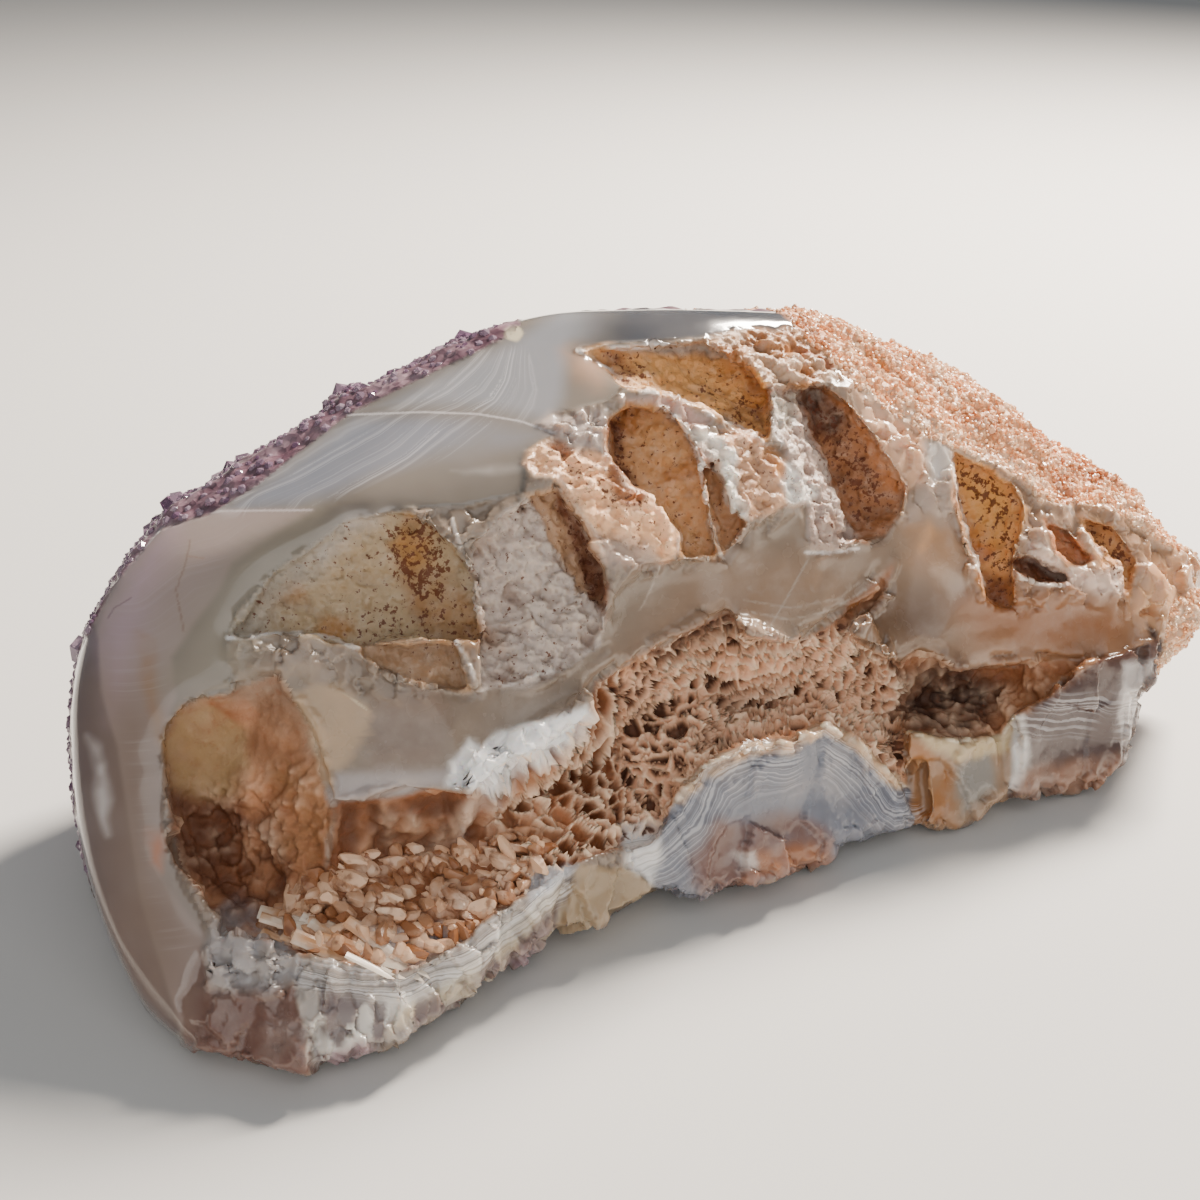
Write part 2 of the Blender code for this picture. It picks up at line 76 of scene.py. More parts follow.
def reach(x, y, outline, closed=True):
    # distance in picture units to an outline: positive inside a closed one, always positive for an open line
    ends = list(zip(outline, outline[1:])) + ([(outline[-1], outline[0])] if closed else [])
    inside = np.zeros(len(x), bool)
    nearest = np.full(len(x), np.inf)
    for (ax, ay), (bx, by) in ends:
        rise = by - ay if by != ay else 1e-9
        inside ^= ((ay > y) != (by > y)) & (x < (bx - ax) * (y - ay) / rise + ax)
        length = max((bx - ax) ** 2 + (by - ay) ** 2, 1e-9)
        share = np.clip(((x - ax) * (bx - ax) + (y - ay) * (by - ay)) / length, 0, 1)
        nearest = np.minimum(nearest, np.hypot(x - ax - share * (bx - ax), y - ay - share * (by - ay)))
    return np.where(inside, nearest, -nearest) if closed else nearest


def ease(value, low, high):
    share = np.clip((value - low) / (high - low), 0, 1)
    return share * share * (3 - 2 * share)


def latticeValue(cell, seed):
    mixed = cell[..., 0] * 73856093 ^ cell[..., 1] * 19349663 ^ cell[..., 2] * 83492791 ^ seed * 2654435
    mixed = (mixed ^ (mixed >> 13)) * 1274126177 & 0x7FFFFFFF
    return ((mixed ^ (mixed >> 16)) & 0xFFFF) / 0xFFFF


def lumps(points, size, seed):
    # smooth noise from -1 to 1, lumps about size millimetres across
    scaled = points / (size * mm)
    base = np.floor(scaled).astype(np.int64)
    share = scaled - base
    share = share * share * (3 - 2 * share)
    total = np.zeros(len(points))
    for corner in range(8):
        step = np.array([corner & 1, corner >> 1 & 1, corner >> 2 & 1])
        total += np.prod(np.where(step, share, 1 - share), axis=1) * latticeValue(base + step, seed)
    return total * 2 - 1


facetAxes = np.array([(0.84, 0.36, -0.42), (-0.48, 0.85, -0.22), (0.27, 0.38, 0.88)])


def nearestGrain(points, size, seed, flat=False):
    # distance to the nearest and the second nearest grain middle, a fixed number for each grain and the way
    # from its middle; the flat kind measures along tilted axes, which gives plane facets with sharp edges
    scaled = points / (size * mm)
    base = np.floor(scaled).astype(np.int64)
    first = np.full(len(points), np.inf)
    second = np.full(len(points), np.inf)
    label = np.zeros(len(points))
    way = np.zeros((len(points), 3))
    for index in range(27):
        cell = base + np.array([index % 3 - 1, index // 3 % 3 - 1, index // 9 - 1])
        middle = cell + np.stack([latticeValue(cell, seed + k) for k in range(3)], axis=1)
        offset = scaled - middle
        gap = np.abs(offset @ facetAxes).max(axis=1) if flat else np.linalg.norm(offset, axis=1)
        second = np.minimum(second, np.maximum(gap, first))
        label = np.where(gap < first, latticeValue(cell, seed + 5), label)
        way = np.where((gap < first)[:, None], offset, way)
        first = np.minimum(first, gap)
    return first, second, label, way


def grains(points, size, seed, flat=False):
    return nearestGrain(points, size, seed, flat)[:3]


def facets(points, size, seed):
    # a height that is plane over each grain and leans its own way, with a step at the grain's edge
    _, _, label, way = nearestGrain(points, size, seed)
    turn = label * 31.4
    level = label * 17 % 1 * 2 - 1
    flat = np.sqrt(1 - level**2)
    return way[:, 0] * flat * np.cos(turn) + way[:, 1] * flat * np.sin(turn) + way[:, 2] * level


stone = {
    "voxel": 0.42,  # millimetres
    "sectionSteps": 10,  # rings between two sections
    "aroundSteps": 10,  # points between two points of a section
    "toolReach": 14,  # how far a carving tool starts in front of the skin
    "cone": (80, 290),  # where the cone of the outline starts and ends, from the station
    "grinder": 90,  # half the width of the block that grinds a flat
    "mostTriangles": 180000,  # in one piece of the surface
    "mostUnderGrains": 104000,  # on the rind, which its grains mostly hide
    "mostUnderPoints": 60000,  # on the crust under the crystals
}

# Sections across the stone: the distance along it, then (y, z) from the front foot, over the ridge and
# down the back.
sections = [
    (-53, [
        (-10, 7), (-15, 9), (-17, 14), (-15, 20), (-10, 24), (-5, 25), (-1, 22), (1, 15), (-1, 9), (-5, 6)
    ]),
    (-48, [(-22, 0), (-28, 7), (-28, 15), (-22, 23), (-13, 29), (-4, 32), (4, 29), (8, 18), (5, 6), (-8, 0)]),
    (-38, [
        (-36, 0), (-37, 6), (-33, 15), (-26, 25), (-15, 34), (0, 39), (11, 35), (16, 20), (12, 4), (-12, -2)
    ]),
    (-27, [
        (-41, 0), (-40, 7), (-35, 16), (-27, 27), (-15, 38), (3, 45), (15, 41), (22, 24), (18, 4), (-11, -2.5)
    ]),
    (-14, [
        (-34, 0), (-34, 8), (-29, 18), (-21, 30), (-10, 42), (9, 50), (22, 45), (30, 26), (25, 4), (-3, -2.5)
    ]),
    (0, [
        (-22, 0), (-22, 8), (-19, 20), (-14, 32), (-5, 44), (14, 52), (29, 47), (36, 28), (31, 4), (6, -2.5)
    ]),
    (15, [
        (-15, 0), (-14, 9), (-11, 21), (-6, 33), (4, 45), (20, 52), (34, 46), (40, 28), (35, 4), (12, -2.5)
    ]),
    (32, [(-5, 0), (-4, 9), (-1, 19), (4, 30), (12, 40), (25, 46), (37, 41), (42, 25), (37, 4), (18, -2.5)]),
    (46, [(1, 0), (2, 8), (2, 16), (7, 26), (15, 34), (25, 39), (35, 35), (40, 21), (35, 4), (19, -2)]),
    (58, [(6, 0), (6, 7), (7, 14), (11, 21), (17, 28), (24, 31), (31, 27), (35, 17), (30, 4), (19, -1)]),
    (67, [(16, 3), (13, 8), (13, 13), (15, 18), (19, 22), (24, 23), (28, 20), (30, 14), (28, 8), (22, 4)]),
    (73, [
        (20, 10), (18, 12), (17, 15), (18, 18), (21, 20), (24, 20), (26, 18), (27, 14), (26, 11), (22, 10)
    ]),
]

silhouette = [
    (191, 1049), (168, 1031), (145, 1010), (130, 982), (110, 940), (98, 908), (89, 879), (79, 831), (73, 774),
    (71, 716), (73, 688), (79, 655), (92, 619), (106, 598), (117, 577), (137, 548), (156, 525), (167, 512),
    (194, 492), (214, 481), (234, 466), (260, 451), (295, 432), (302, 426), (314, 422), (329, 403),
    (352, 387), (367, 389), (392, 375), (413, 365), (434, 354), (472, 336), (505, 325), (530, 317),
    (570, 311), (626, 310), (670, 309), (750, 311), (796, 313), (841, 319), (853, 331), (878, 344),
    (891, 344), (920, 355), (949, 373), (980, 392), (1013, 409), (1041, 438), (1066, 455), (1099, 468),
    (1125, 485), (1140, 500), (1138, 508), (1157, 531), (1175, 548), (1200, 563), (1195, 625), (1179, 645),
    (1159, 663), (1155, 661), (1152, 682), (1134, 702), (1129, 732), (1117, 761), (1100, 780), (1071, 788),
    (1048, 791), (1012, 791), (987, 800), (968, 828), (945, 830), (920, 822), (865, 830), (832, 841),
    (830, 855), (799, 867), (751, 880), (697, 895), (657, 884), (630, 905), (584, 930), (554, 928),
    (547, 931), (520, 957), (482, 980), (430, 1018), (388, 1037), (350, 1051), (312, 1068), (264, 1066),
    (229, 1054),
]

# Each ground flat is a plane through three picture points of the skin.
flats = {
    "brow": ((345, 416), (556, 430), (600, 320)),
    "shoulder": ((165, 524), (330, 508), (445, 415)),
    "cheek": ((99, 662), (306, 512), (182, 1018)),
}

# Hollows: outline points (x, y, depth in millimetres), then points inside with their own depth.
hollows = {
    "waist": ([
        (236, 652, 0.2), (330, 668, 0.6), (430, 690, 1.2), (540, 680, 1.8), (600, 640, 2.4), (618, 585, 2.6),
        (662, 568, 3.0), (722, 556, 3.0), (752, 528, 2.6), (812, 500, 2.0), (842, 548, 2.4), (905, 515, 1.4),
        (955, 505, 1.0), (978, 600, 1.6), (1040, 606, 1.8), (1120, 596, 1.2), (1150, 640, 0.8),
        (1095, 660, 2.2), (1000, 668, 2.6), (900, 664, 2.8), (860, 606, 3.0), (790, 640, 3.2),
        (728, 612, 3.4), (650, 650, 3.0), (590, 690, 2.6), (548, 722, 2.2), (446, 792, 1.8), (330, 806, 1.4),
        (300, 740, 0.8), (232, 690, 0.4),
    ], [(700, 590, 3.8), (900, 600, 2.8), (420, 740, 2.0)]),
    "largeCast": ([
        (228, 638, 0.6), (276, 573, 0.8), (322, 542, 0.8), (347, 521, 0.8), (410, 510, 1.6), (452, 546, 3.2),
        (473, 571, 4.4), (482, 642, 5.2), (410, 639, 5.2), (352, 646, 4.6), (295, 634, 3.2),
    ], [(400, 590, 4.2), (300, 600, 2.4)]),
    "underLedge": ([(352, 646, 2.0), (457, 642, 3.6), (470, 690, 3.2), (420, 684, 2.6), (380, 668, 2.0)], []),
    "greyCast": ([
        (470, 548, 2.4), (524, 500, 1.4), (545, 520, 3.0), (580, 590, 3.6), (604, 604, 3.6), (598, 650, 2.2),
        (540, 680, 1.8), (480, 690, 2.4), (482, 620, 4.8),
    ], [(520, 600, 4.4)]),
    "leafCast": ([
        (524, 495, 2.0), (555, 487, 3.2), (578, 520, 5.0), (605, 568, 5.4), (604, 606, 4.6), (574, 587, 4.2),
        (545, 530, 3.2),
    ], []),
    "bigLeafCast": ([
        (624, 401, 5.0), (608, 422, 6.4), (608, 457, 6.8), (631, 484, 6.0), (656, 507, 5.4), (677, 530, 4.8),
        (680, 557, 3.6), (716, 557, 3.2), (706, 510, 3.2), (698, 453, 2.6), (683, 426, 2.6), (650, 402, 3.0),
    ], [(655, 460, 5.4)]),
    "thinWedgeCast": ([
        (702, 462, 4.8), (716, 455, 3.2), (725, 483, 2.8), (728, 504, 2.6), (747, 523, 2.4), (722, 557, 3.2),
        (712, 520, 5.0),
    ], []),
    "topCast": ([
        (577, 352, 0.8), (623, 347, 2.6), (667, 345, 3.6), (700, 343, 4.2), (752, 366, 4.4), (771, 390, 4.0),
        (768, 444, 3.0), (746, 435, 3.2), (725, 419, 3.6), (700, 406, 3.8), (665, 393, 3.6), (629, 389, 2.6),
    ], [(700, 372, 5.6), (740, 400, 5.0)]),
    "brownBladeCast": ([
        (770, 387, 0.8), (803, 388, 4.6), (824, 385, 2.6), (849, 407, 2.2), (868, 430, 1.8), (891, 463, 1.6),
        (905, 487, 1.4), (901, 516, 1.8), (884, 538, 3.0), (851, 540, 5.2), (812, 548, 2.2), (806, 500, 1.2),
        (790, 450, 1.0),
    ], [(812, 410, 6.4), (832, 470, 7.0), (850, 520, 6.6)]),
    "rightCast": ([
        (951, 449, 4.4), (990, 468, 2.4), (1010, 484, 2.2), (1024, 508, 2.0), (1018, 535, 2.4),
        (1010, 562, 3.6), (1014, 608, 2.4), (997, 609, 3.2), (984, 600, 4.8), (976, 568, 6.0),
        (967, 539, 6.4), (957, 501, 6.2),
    ], [(990, 530, 5.2)]),
    "slot": ([(1006, 561, 3.4), (1030, 556, 4.4), (1072, 572, 4.0), (1070, 584, 3.0), (1030, 580, 3.4)], []),
    "smallPocket": ([
        (1043, 518, 3.0), (1066, 532, 3.4), (1097, 560, 2.2), (1078, 566, 2.4), (1052, 548, 3.4),
    ], []),
    "rightBladeCast": ([
        (1076, 514, 3.6), (1112, 530, 1.8), (1136, 560, 1.2), (1128, 600, 1.4), (1112, 590, 2.6),
        (1098, 556, 3.8), (1084, 536, 4.4),
    ], []),
    "leftCavity": ([
        (224, 690, 1.2), (186, 703, 1.6), (167, 726, 2.0), (163, 755, 3.0), (167, 812, 4.4), (175, 860, 4.6),
        (194, 889, 4.0), (222, 930, 3.0), (262, 944, 4.0), (300, 920, 6.0), (330, 870, 5.4), (334, 806, 3.2),
        (318, 740, 1.6), (286, 668, 0.6),
    ], [
        (222, 840, 9.5), (205, 780, 6.5), (240, 730, 4.6), (285, 800, 4.6), (260, 880, 9.0), (296, 850, 5.0),
    ]),
    "recess": ([
        (225, 925, 2.6), (300, 880, 6.0), (328, 860, 6.0), (332, 802, 3.6), (415, 789, 4.6), (476, 789, 5.0),
        (500, 762, 4.6), (552, 742, 4.4), (584, 712, 3.6), (592, 681, 3.8), (656, 643, 4.6), (728, 609, 5.0),
        (751, 635, 5.0), (790, 640, 5.0), (843, 614, 5.0), (893, 566, 3.0), (884, 600, 4.0), (850, 632, 5.4),
        (899, 661, 6.4), (922, 646, 5.6), (958, 667, 6.2), (1023, 661, 5.6), (1092, 655, 2.4),
        (1071, 676, 2.0), (1043, 702, 1.8), (1014, 716, 2.0), (1000, 738, 2.6), (956, 740, 2.6),
        (908, 733, 3.4), (904, 786, 2.2), (862, 746, 1.6), (824, 724, 2.0), (790, 743, 1.6), (747, 745, 1.6),
        (702, 766, 1.8), (679, 800, 1.8), (658, 838, 1.6), (577, 862, 1.4), (520, 896, 1.2), (465, 944, 1.0),
        (400, 974, 1.0), (330, 962, 1.4), (262, 944, 2.0),
    ], [
        (400, 850, 11.0), (460, 840, 10.0), (520, 800, 7.4), (600, 760, 8.0), (700, 680, 9.0),
        (735, 712, 10.5), (820, 690, 8.0), (880, 720, 8.5), (940, 700, 11.0), (1000, 690, 9.0),
        (380, 910, 5.0), (450, 890, 5.6), (600, 820, 4.4), (650, 790, 5.6), (860, 650, 8.0),
    ]),
    "firstNotch": ([(566, 868, 1.4), (580, 862, 1.4), (562, 935, 2.6), (546, 935, 2.6)], []),
    "secondNotch": ([(896, 776, 3.4), (924, 756, 3.4), (930, 812, 2.6), (916, 830, 3.0)], []),
    "thirdNotch": ([(1000, 736, 2.4), (1022, 708, 2.4), (1018, 798, 2.0), (998, 800, 2.6)], []),
}

# Thin plates of quartz that stand up in the hollows: outline points (x, y, depth of the top edge), then
# thickness in millimetres along the sight line.
plates = {
    "whiteRib": ([
        (445, 787, 3.2), (449, 760, 2.4), (468, 739, 2.0), (480, 745, 2.4), (501, 730, 2.0), (545, 720, 1.8),
        (581, 707, 1.8), (587, 716, 2.2), (570, 742, 3.0), (549, 772, 3.6), (520, 790, 4.6), (480, 786, 4.6),
    ], 5),
    "underLedgePlate": ([
        (228, 640, 0.2), (299, 633, 1.2), (332, 637, 2.0), (362, 650, 2.4), (392, 672, 1.8), (430, 700, 0.9),
        (400, 704, 0.5), (340, 690, 0.2), (280, 672, 0.0), (240, 662, 0.0),
    ], 4),
    "twistedRib": ([
        (1018, 536, 1.2), (1032, 532, 0.6), (1048, 546, 0.6), (1068, 562, 0.6), (1090, 568, 0.4),
        (1120, 560, 0.2), (1124, 594, 0.2), (1100, 600, 0.4), (1074, 580, 1.0), (1046, 566, 1.2),
        (1024, 552, 1.4),
    ], 6),
    "endRib": ([
        (1066, 508, 0.4), (1078, 512, 0.6), (1084, 530, 0.6), (1102, 548, 0.4), (1116, 566, 0.4),
        (1124, 592, 0.3), (1110, 594, 0.6), (1100, 570, 0.8), (1086, 554, 0.9), (1072, 536, 0.9),
    ], 6),
    "middleStrip": ([
        (770, 385, 1.0), (792, 400, 1.6), (812, 455, 2.6), (843, 521, 2.4), (832, 546, 2.2), (809, 550, 2.0),
        (800, 505, 1.2), (788, 450, 1.0),
    ], 6),
}


def placed(name, bm):
    # an object from a bmesh, large faces split and all faces turned outward
    bmesh.ops.triangulate(bm, faces=[face for face in bm.faces if len(face.verts) > 4])
    bmesh.ops.recalc_face_normals(bm, faces=bm.faces)
    mesh = bpy.data.meshes.new(name)
    bm.to_mesh(mesh)
    bm.free()
    piece = bpy.data.objects.new(name, mesh)
    bpy.context.scene.collection.objects.link(piece)
    return piece


def settle(piece):
    # puts what the modifiers make in place of the mesh
    graph = bpy.context.evaluated_depsgraph_get()
    mesh = bpy.data.meshes.new_from_object(piece.evaluated_get(graph))
    piece.modifiers.clear()
    old = piece.data
    piece.data = mesh
    bpy.data.meshes.remove(old)


def cut(piece, tool, operation="DIFFERENCE"):
    modifier = piece.modifiers.new("cut", "BOOLEAN")
    modifier.operation = operation
    modifier.solver = "MANIFOLD"
    modifier.object = tool
    settle(piece)
    bpy.data.objects.remove(tool, do_unlink=True)


def treeOf(piece):
    bm = bmesh.new()
    bm.from_mesh(piece.data)
    tree = BVHTree.FromBMesh(bm)
    bm.free()
    return tree


def curveThrough(a, b, c, d, share):
    return 0.5 * (
        2 * b + (c - a) * share + (2 * a - 5 * b + 4 * c - d) * share**2 + (3 * b - a - 3 * c + d) * share**3
    )


def loftStone():
    rings = []
    for x, profile in sections:
        count = len(profile)
        ring = []
        for k in range(count):
            a, b, c, d = (np.array(profile[(k + n) % count], float) for n in (-1, 0, 1, 2))
            for step in range(stone["aroundSteps"]):
                y, z = curveThrough(a, b, c, d, step / stone["aroundSteps"])
                ring.append((x - stoneMiddle[0], y - stoneMiddle[1], z))
        rings.append(np.array(ring))
    lofted = []
    last = len(rings) - 1
    for k in range(last):
        a, b, c, d = (rings[min(max(k + n, 0), last)] for n in (-1, 0, 1, 2))
        for step in range(stone["sectionSteps"]):
            lofted.append(curveThrough(a, b, c, d, step / stone["sectionSteps"]))
    lofted.append(rings[last])
    bm = bmesh.new()
    grid = [[bm.verts.new(Vector(point) * mm) for point in ring] for ring in lofted]
    around = len(grid[0])
    for first, second in zip(grid, grid[1:]):
        for k in range(around):
            bm.faces.new((first[k], first[(k + 1) % around], second[(k + 1) % around], second[k]))
    bm.faces.new(grid[0])
    bm.faces.new(reversed(grid[-1]))
    return placed("agateBody", bm)


def silhouetteCone():
    # from the station through the outline, so that the stone keeps it
    bm = bmesh.new()
    start, end = (
        [bm.verts.new(eye + sightLine(x, y) * far * mm) for x, y in silhouette] for far in stone["cone"]
    )
    for k in range(len(start)):
        after = (k + 1) % len(start)
        bm.faces.new((start[k], start[after], end[after], end[k]))
    bm.faces.new(start)
    bm.faces.new(reversed(end))
    return placed("silhouetteCone", bm)


def sightPrism(outline, inner, skin, ahead, behindIt):
    # a solid along the sight lines of an outline, from one distance off each point's depth to another
    points = outline + inner
    count = len(outline)
    edges = [(k, (k + 1) % count) for k in range(count)]
    flat = [Vector((x, y)) for x, y, _ in points]
    _, _, faces, origin, _, _ = delaunay_2d_cdt(flat, edges, [list(range(count))], 1, 1e-4)
    source = [points[ids[0]] for ids in origin]
    hits = [skin.ray_cast(eye, sightLine(x, y))[3] for x, y, _ in source]
    known = [hit for hit in hits if hit]
    bm = bmesh.new()
    front, back = [], []
    for (x, y, depth), hit in zip(source, hits):
        distance = hit or sum(known) / len(known)
        front.append(bm.verts.new(eye + sightLine(x, y) * (distance + ahead(depth) * mm)))
        back.append(bm.verts.new(eye + sightLine(x, y) * (distance + behindIt(depth) * mm)))
    sides = set()
    for face in faces:
        bm.faces.new([front[k] for k in face])
        bm.faces.new([back[k] for k in reversed(face)])
        for a, b in zip(face, face[1:] + face[:1]):
            sides ^= {(b, a)} if (b, a) in sides else {(a, b)}
    for a, b in sides:
        bm.faces.new((front[b], front[a], back[a], back[b]))
    return placed("sightPrism", bm)


def grinder(place):
    # a block on the far side of the plane that it grinds
    bm = bmesh.new()
    bmesh.ops.create_cube(bm, size=1)
    side = stone["grinder"]
    bmesh.ops.scale(bm, verts=bm.verts, vec=Vector((2 * side, 2 * side, side)) * mm)
    bmesh.ops.translate(bm, verts=bm.verts, vec=Vector((0, 0, side / 2)) * mm)
    bmesh.ops.transform(bm, matrix=place, verts=bm.verts)
    return placed("grinder", bm)


def grindFlats(body):
    skin = treeOf(body)
    for places in flats.values():
        first, second, third = (skin.ray_cast(eye, sightLine(*place))[0] for place in places)
        normal = (second - first).cross(third - first).normalized()
        if normal.dot(eye - first) < 0:
            normal.negate()
        turn = Matrix.Translation(first) @ normal.to_track_quat("Z", "Y").to_matrix().to_4x4()
        cut(body, grinder(turn))


def quadsOf(mesh):
    points = np.empty(len(mesh.vertices) * 3, np.float32)
    mesh.vertices.foreach_get("co", points)
    corners = np.empty(len(mesh.loops), np.int32)
    mesh.loops.foreach_get("vertex_index", corners)
    return points.reshape(-1, 3).astype(float), corners.reshape(-1, 4)


def normalsOf(points, quads):
    a, b, c, d = (points[quads[:, k]] for k in range(4))
    across = np.cross(c - a, d - b)
    total = np.zeros_like(points)
    for k in range(4):
        for axis in range(3):
            total[:, axis] += np.bincount(quads[:, k], across[:, axis], len(points))
    return total / np.maximum(np.linalg.norm(total, axis=1, keepdims=True), 1e-12)


def edgesOf(quads, count):
    # the edges, which edge each side of each quad is, and how many quads each edge has
    ends = np.stack([quads[:, [k, (k + 1) % 4]] for k in range(4)], axis=1).reshape(-1, 2).astype(np.int64)
    keys = ends.min(axis=1) * count + ends.max(axis=1)
    found, which, uses = np.unique(keys, return_inverse=True, return_counts=True)
    return np.stack([found // count, found % count], axis=1), which.reshape(-1, 4), uses


def relax(points, quads, amount, rounds):
    # moves each point toward the middle of its neighbours
    ends, _, _ = edgesOf(quads, len(points))
    first, second = ends[:, 0], ends[:, 1]
    count = np.bincount(ends.ravel(), minlength=len(points))[:, None]
    for _ in range(rounds):
        total = np.stack([
            np.bincount(first, points[second, axis], len(points))
            + np.bincount(second, points[first, axis], len(points))
            for axis in range(3)
        ], axis=1)
        points = points + (total / count - points) * amount[:, None]
    return points


def refine(points, quads):
    # each quad in four, with the new points on the old edges and middles
    ends, which, _ = edgesOf(quads, len(points))
    middles = len(points) + which
    centres = len(points) + len(ends) + np.arange(len(quads))
    made = np.concatenate([points, points[ends].mean(axis=1), points[quads].mean(axis=1)])
    parts = [
        np.stack([quads[:, k], middles[:, k], centres, middles[:, (k + 3) % 4]], axis=1) for k in range(4)
    ]
    return made, np.concatenate(parts)


def fromRim(points, quads, rings):
    # 0 on the open rim of a patch, rising to 1 over a number of rings of points
    ends, _, uses = edgesOf(quads, len(points))
    level = np.full(len(points), float(rings))
    level[ends[uses == 1].ravel()] = 0
    for ring in range(1, rings):
        reached = level < ring
        touched = np.zeros(len(points), bool)
        touched[ends[reached[ends].any(axis=1)].ravel()] = True
        level[touched & ~reached] = ring
    return level / rings


def patchOf(points, quads, chosen):
    # the chosen quads by themselves
    part = quads[chosen]
    used, index = np.unique(part, return_inverse=True)
    return points[used], index.reshape(-1, 4)


print("shaping the stone")
body = loftStone()
cut(body, silhouetteCone(), "INTERSECT")
grindFlats(body)
skin = treeOf(body)
for outline, inner in hollows.values():
    cut(body, sightPrism(outline, inner, skin, lambda depth: -stone["toolReach"], lambda depth: depth))
for outline, thick in plates.values():
    cut(body, sightPrism(outline, [], skin, lambda depth: depth, lambda depth: depth + thick), "UNION")
even = body.modifiers.new("even", "REMESH")
even.mode = "VOXEL"
even.voxel_size = stone["voxel"] * mm
settle(body)
points, quads = quadsOf(body.data)
bpy.data.objects.remove(body, do_unlink=True)
print("body", len(points), "points")

# How far the uncut skin is from the station, on an even grid of the picture.
mapStep = 4
mapSide = 1240 // mapStep
mapTop, mapFoot, mapLeft = 290 // mapStep, 1080 // mapStep, 60 // mapStep
skinMap = np.full((mapSide, mapSide), np.nan)
for row in range(mapTop, mapFoot):
    for column in range(mapLeft, mapSide):
        hit = skin.ray_cast(eye, sightLine(column * mapStep, row * mapStep))[3]
        if hit:
            skinMap[row, column] = hit
for _ in range(8):
    # fills the gaps beside the outline from their neighbours
    beside = np.stack([np.roll(skinMap, step, axis) for axis in (0, 1) for step in (-1, 1)])
    gap = np.isnan(skinMap) & ~np.isnan(beside).all(axis=0)
    known = ~np.isnan(beside)
    filled = np.where(known, beside, 0).sum(axis=0) / np.maximum(known.sum(axis=0), 1)
    skinMap = np.where(gap, filled, skinMap)
skinMap = np.where(np.isnan(skinMap), 1, skinMap)


def behindSkin(points, x, y):
    # millimetres from the uncut skin back along the sight line
    column = np.clip(x / mapStep, 0, mapSide - 1.001)
    row = np.clip(y / mapStep, 0, mapSide - 1.001)
    left, top = column.astype(int), row.astype(int)
    across, down = column - left, row - top
    upper = skinMap[top, left] * (1 - across) + skinMap[top, left + 1] * across
    lower = skinMap[top + 1, left] * (1 - across) + skinMap[top + 1, left + 1] * across
    return (np.linalg.norm(points - np.array(eye), axis=1) - upper * (1 - down) - lower * down) / mm


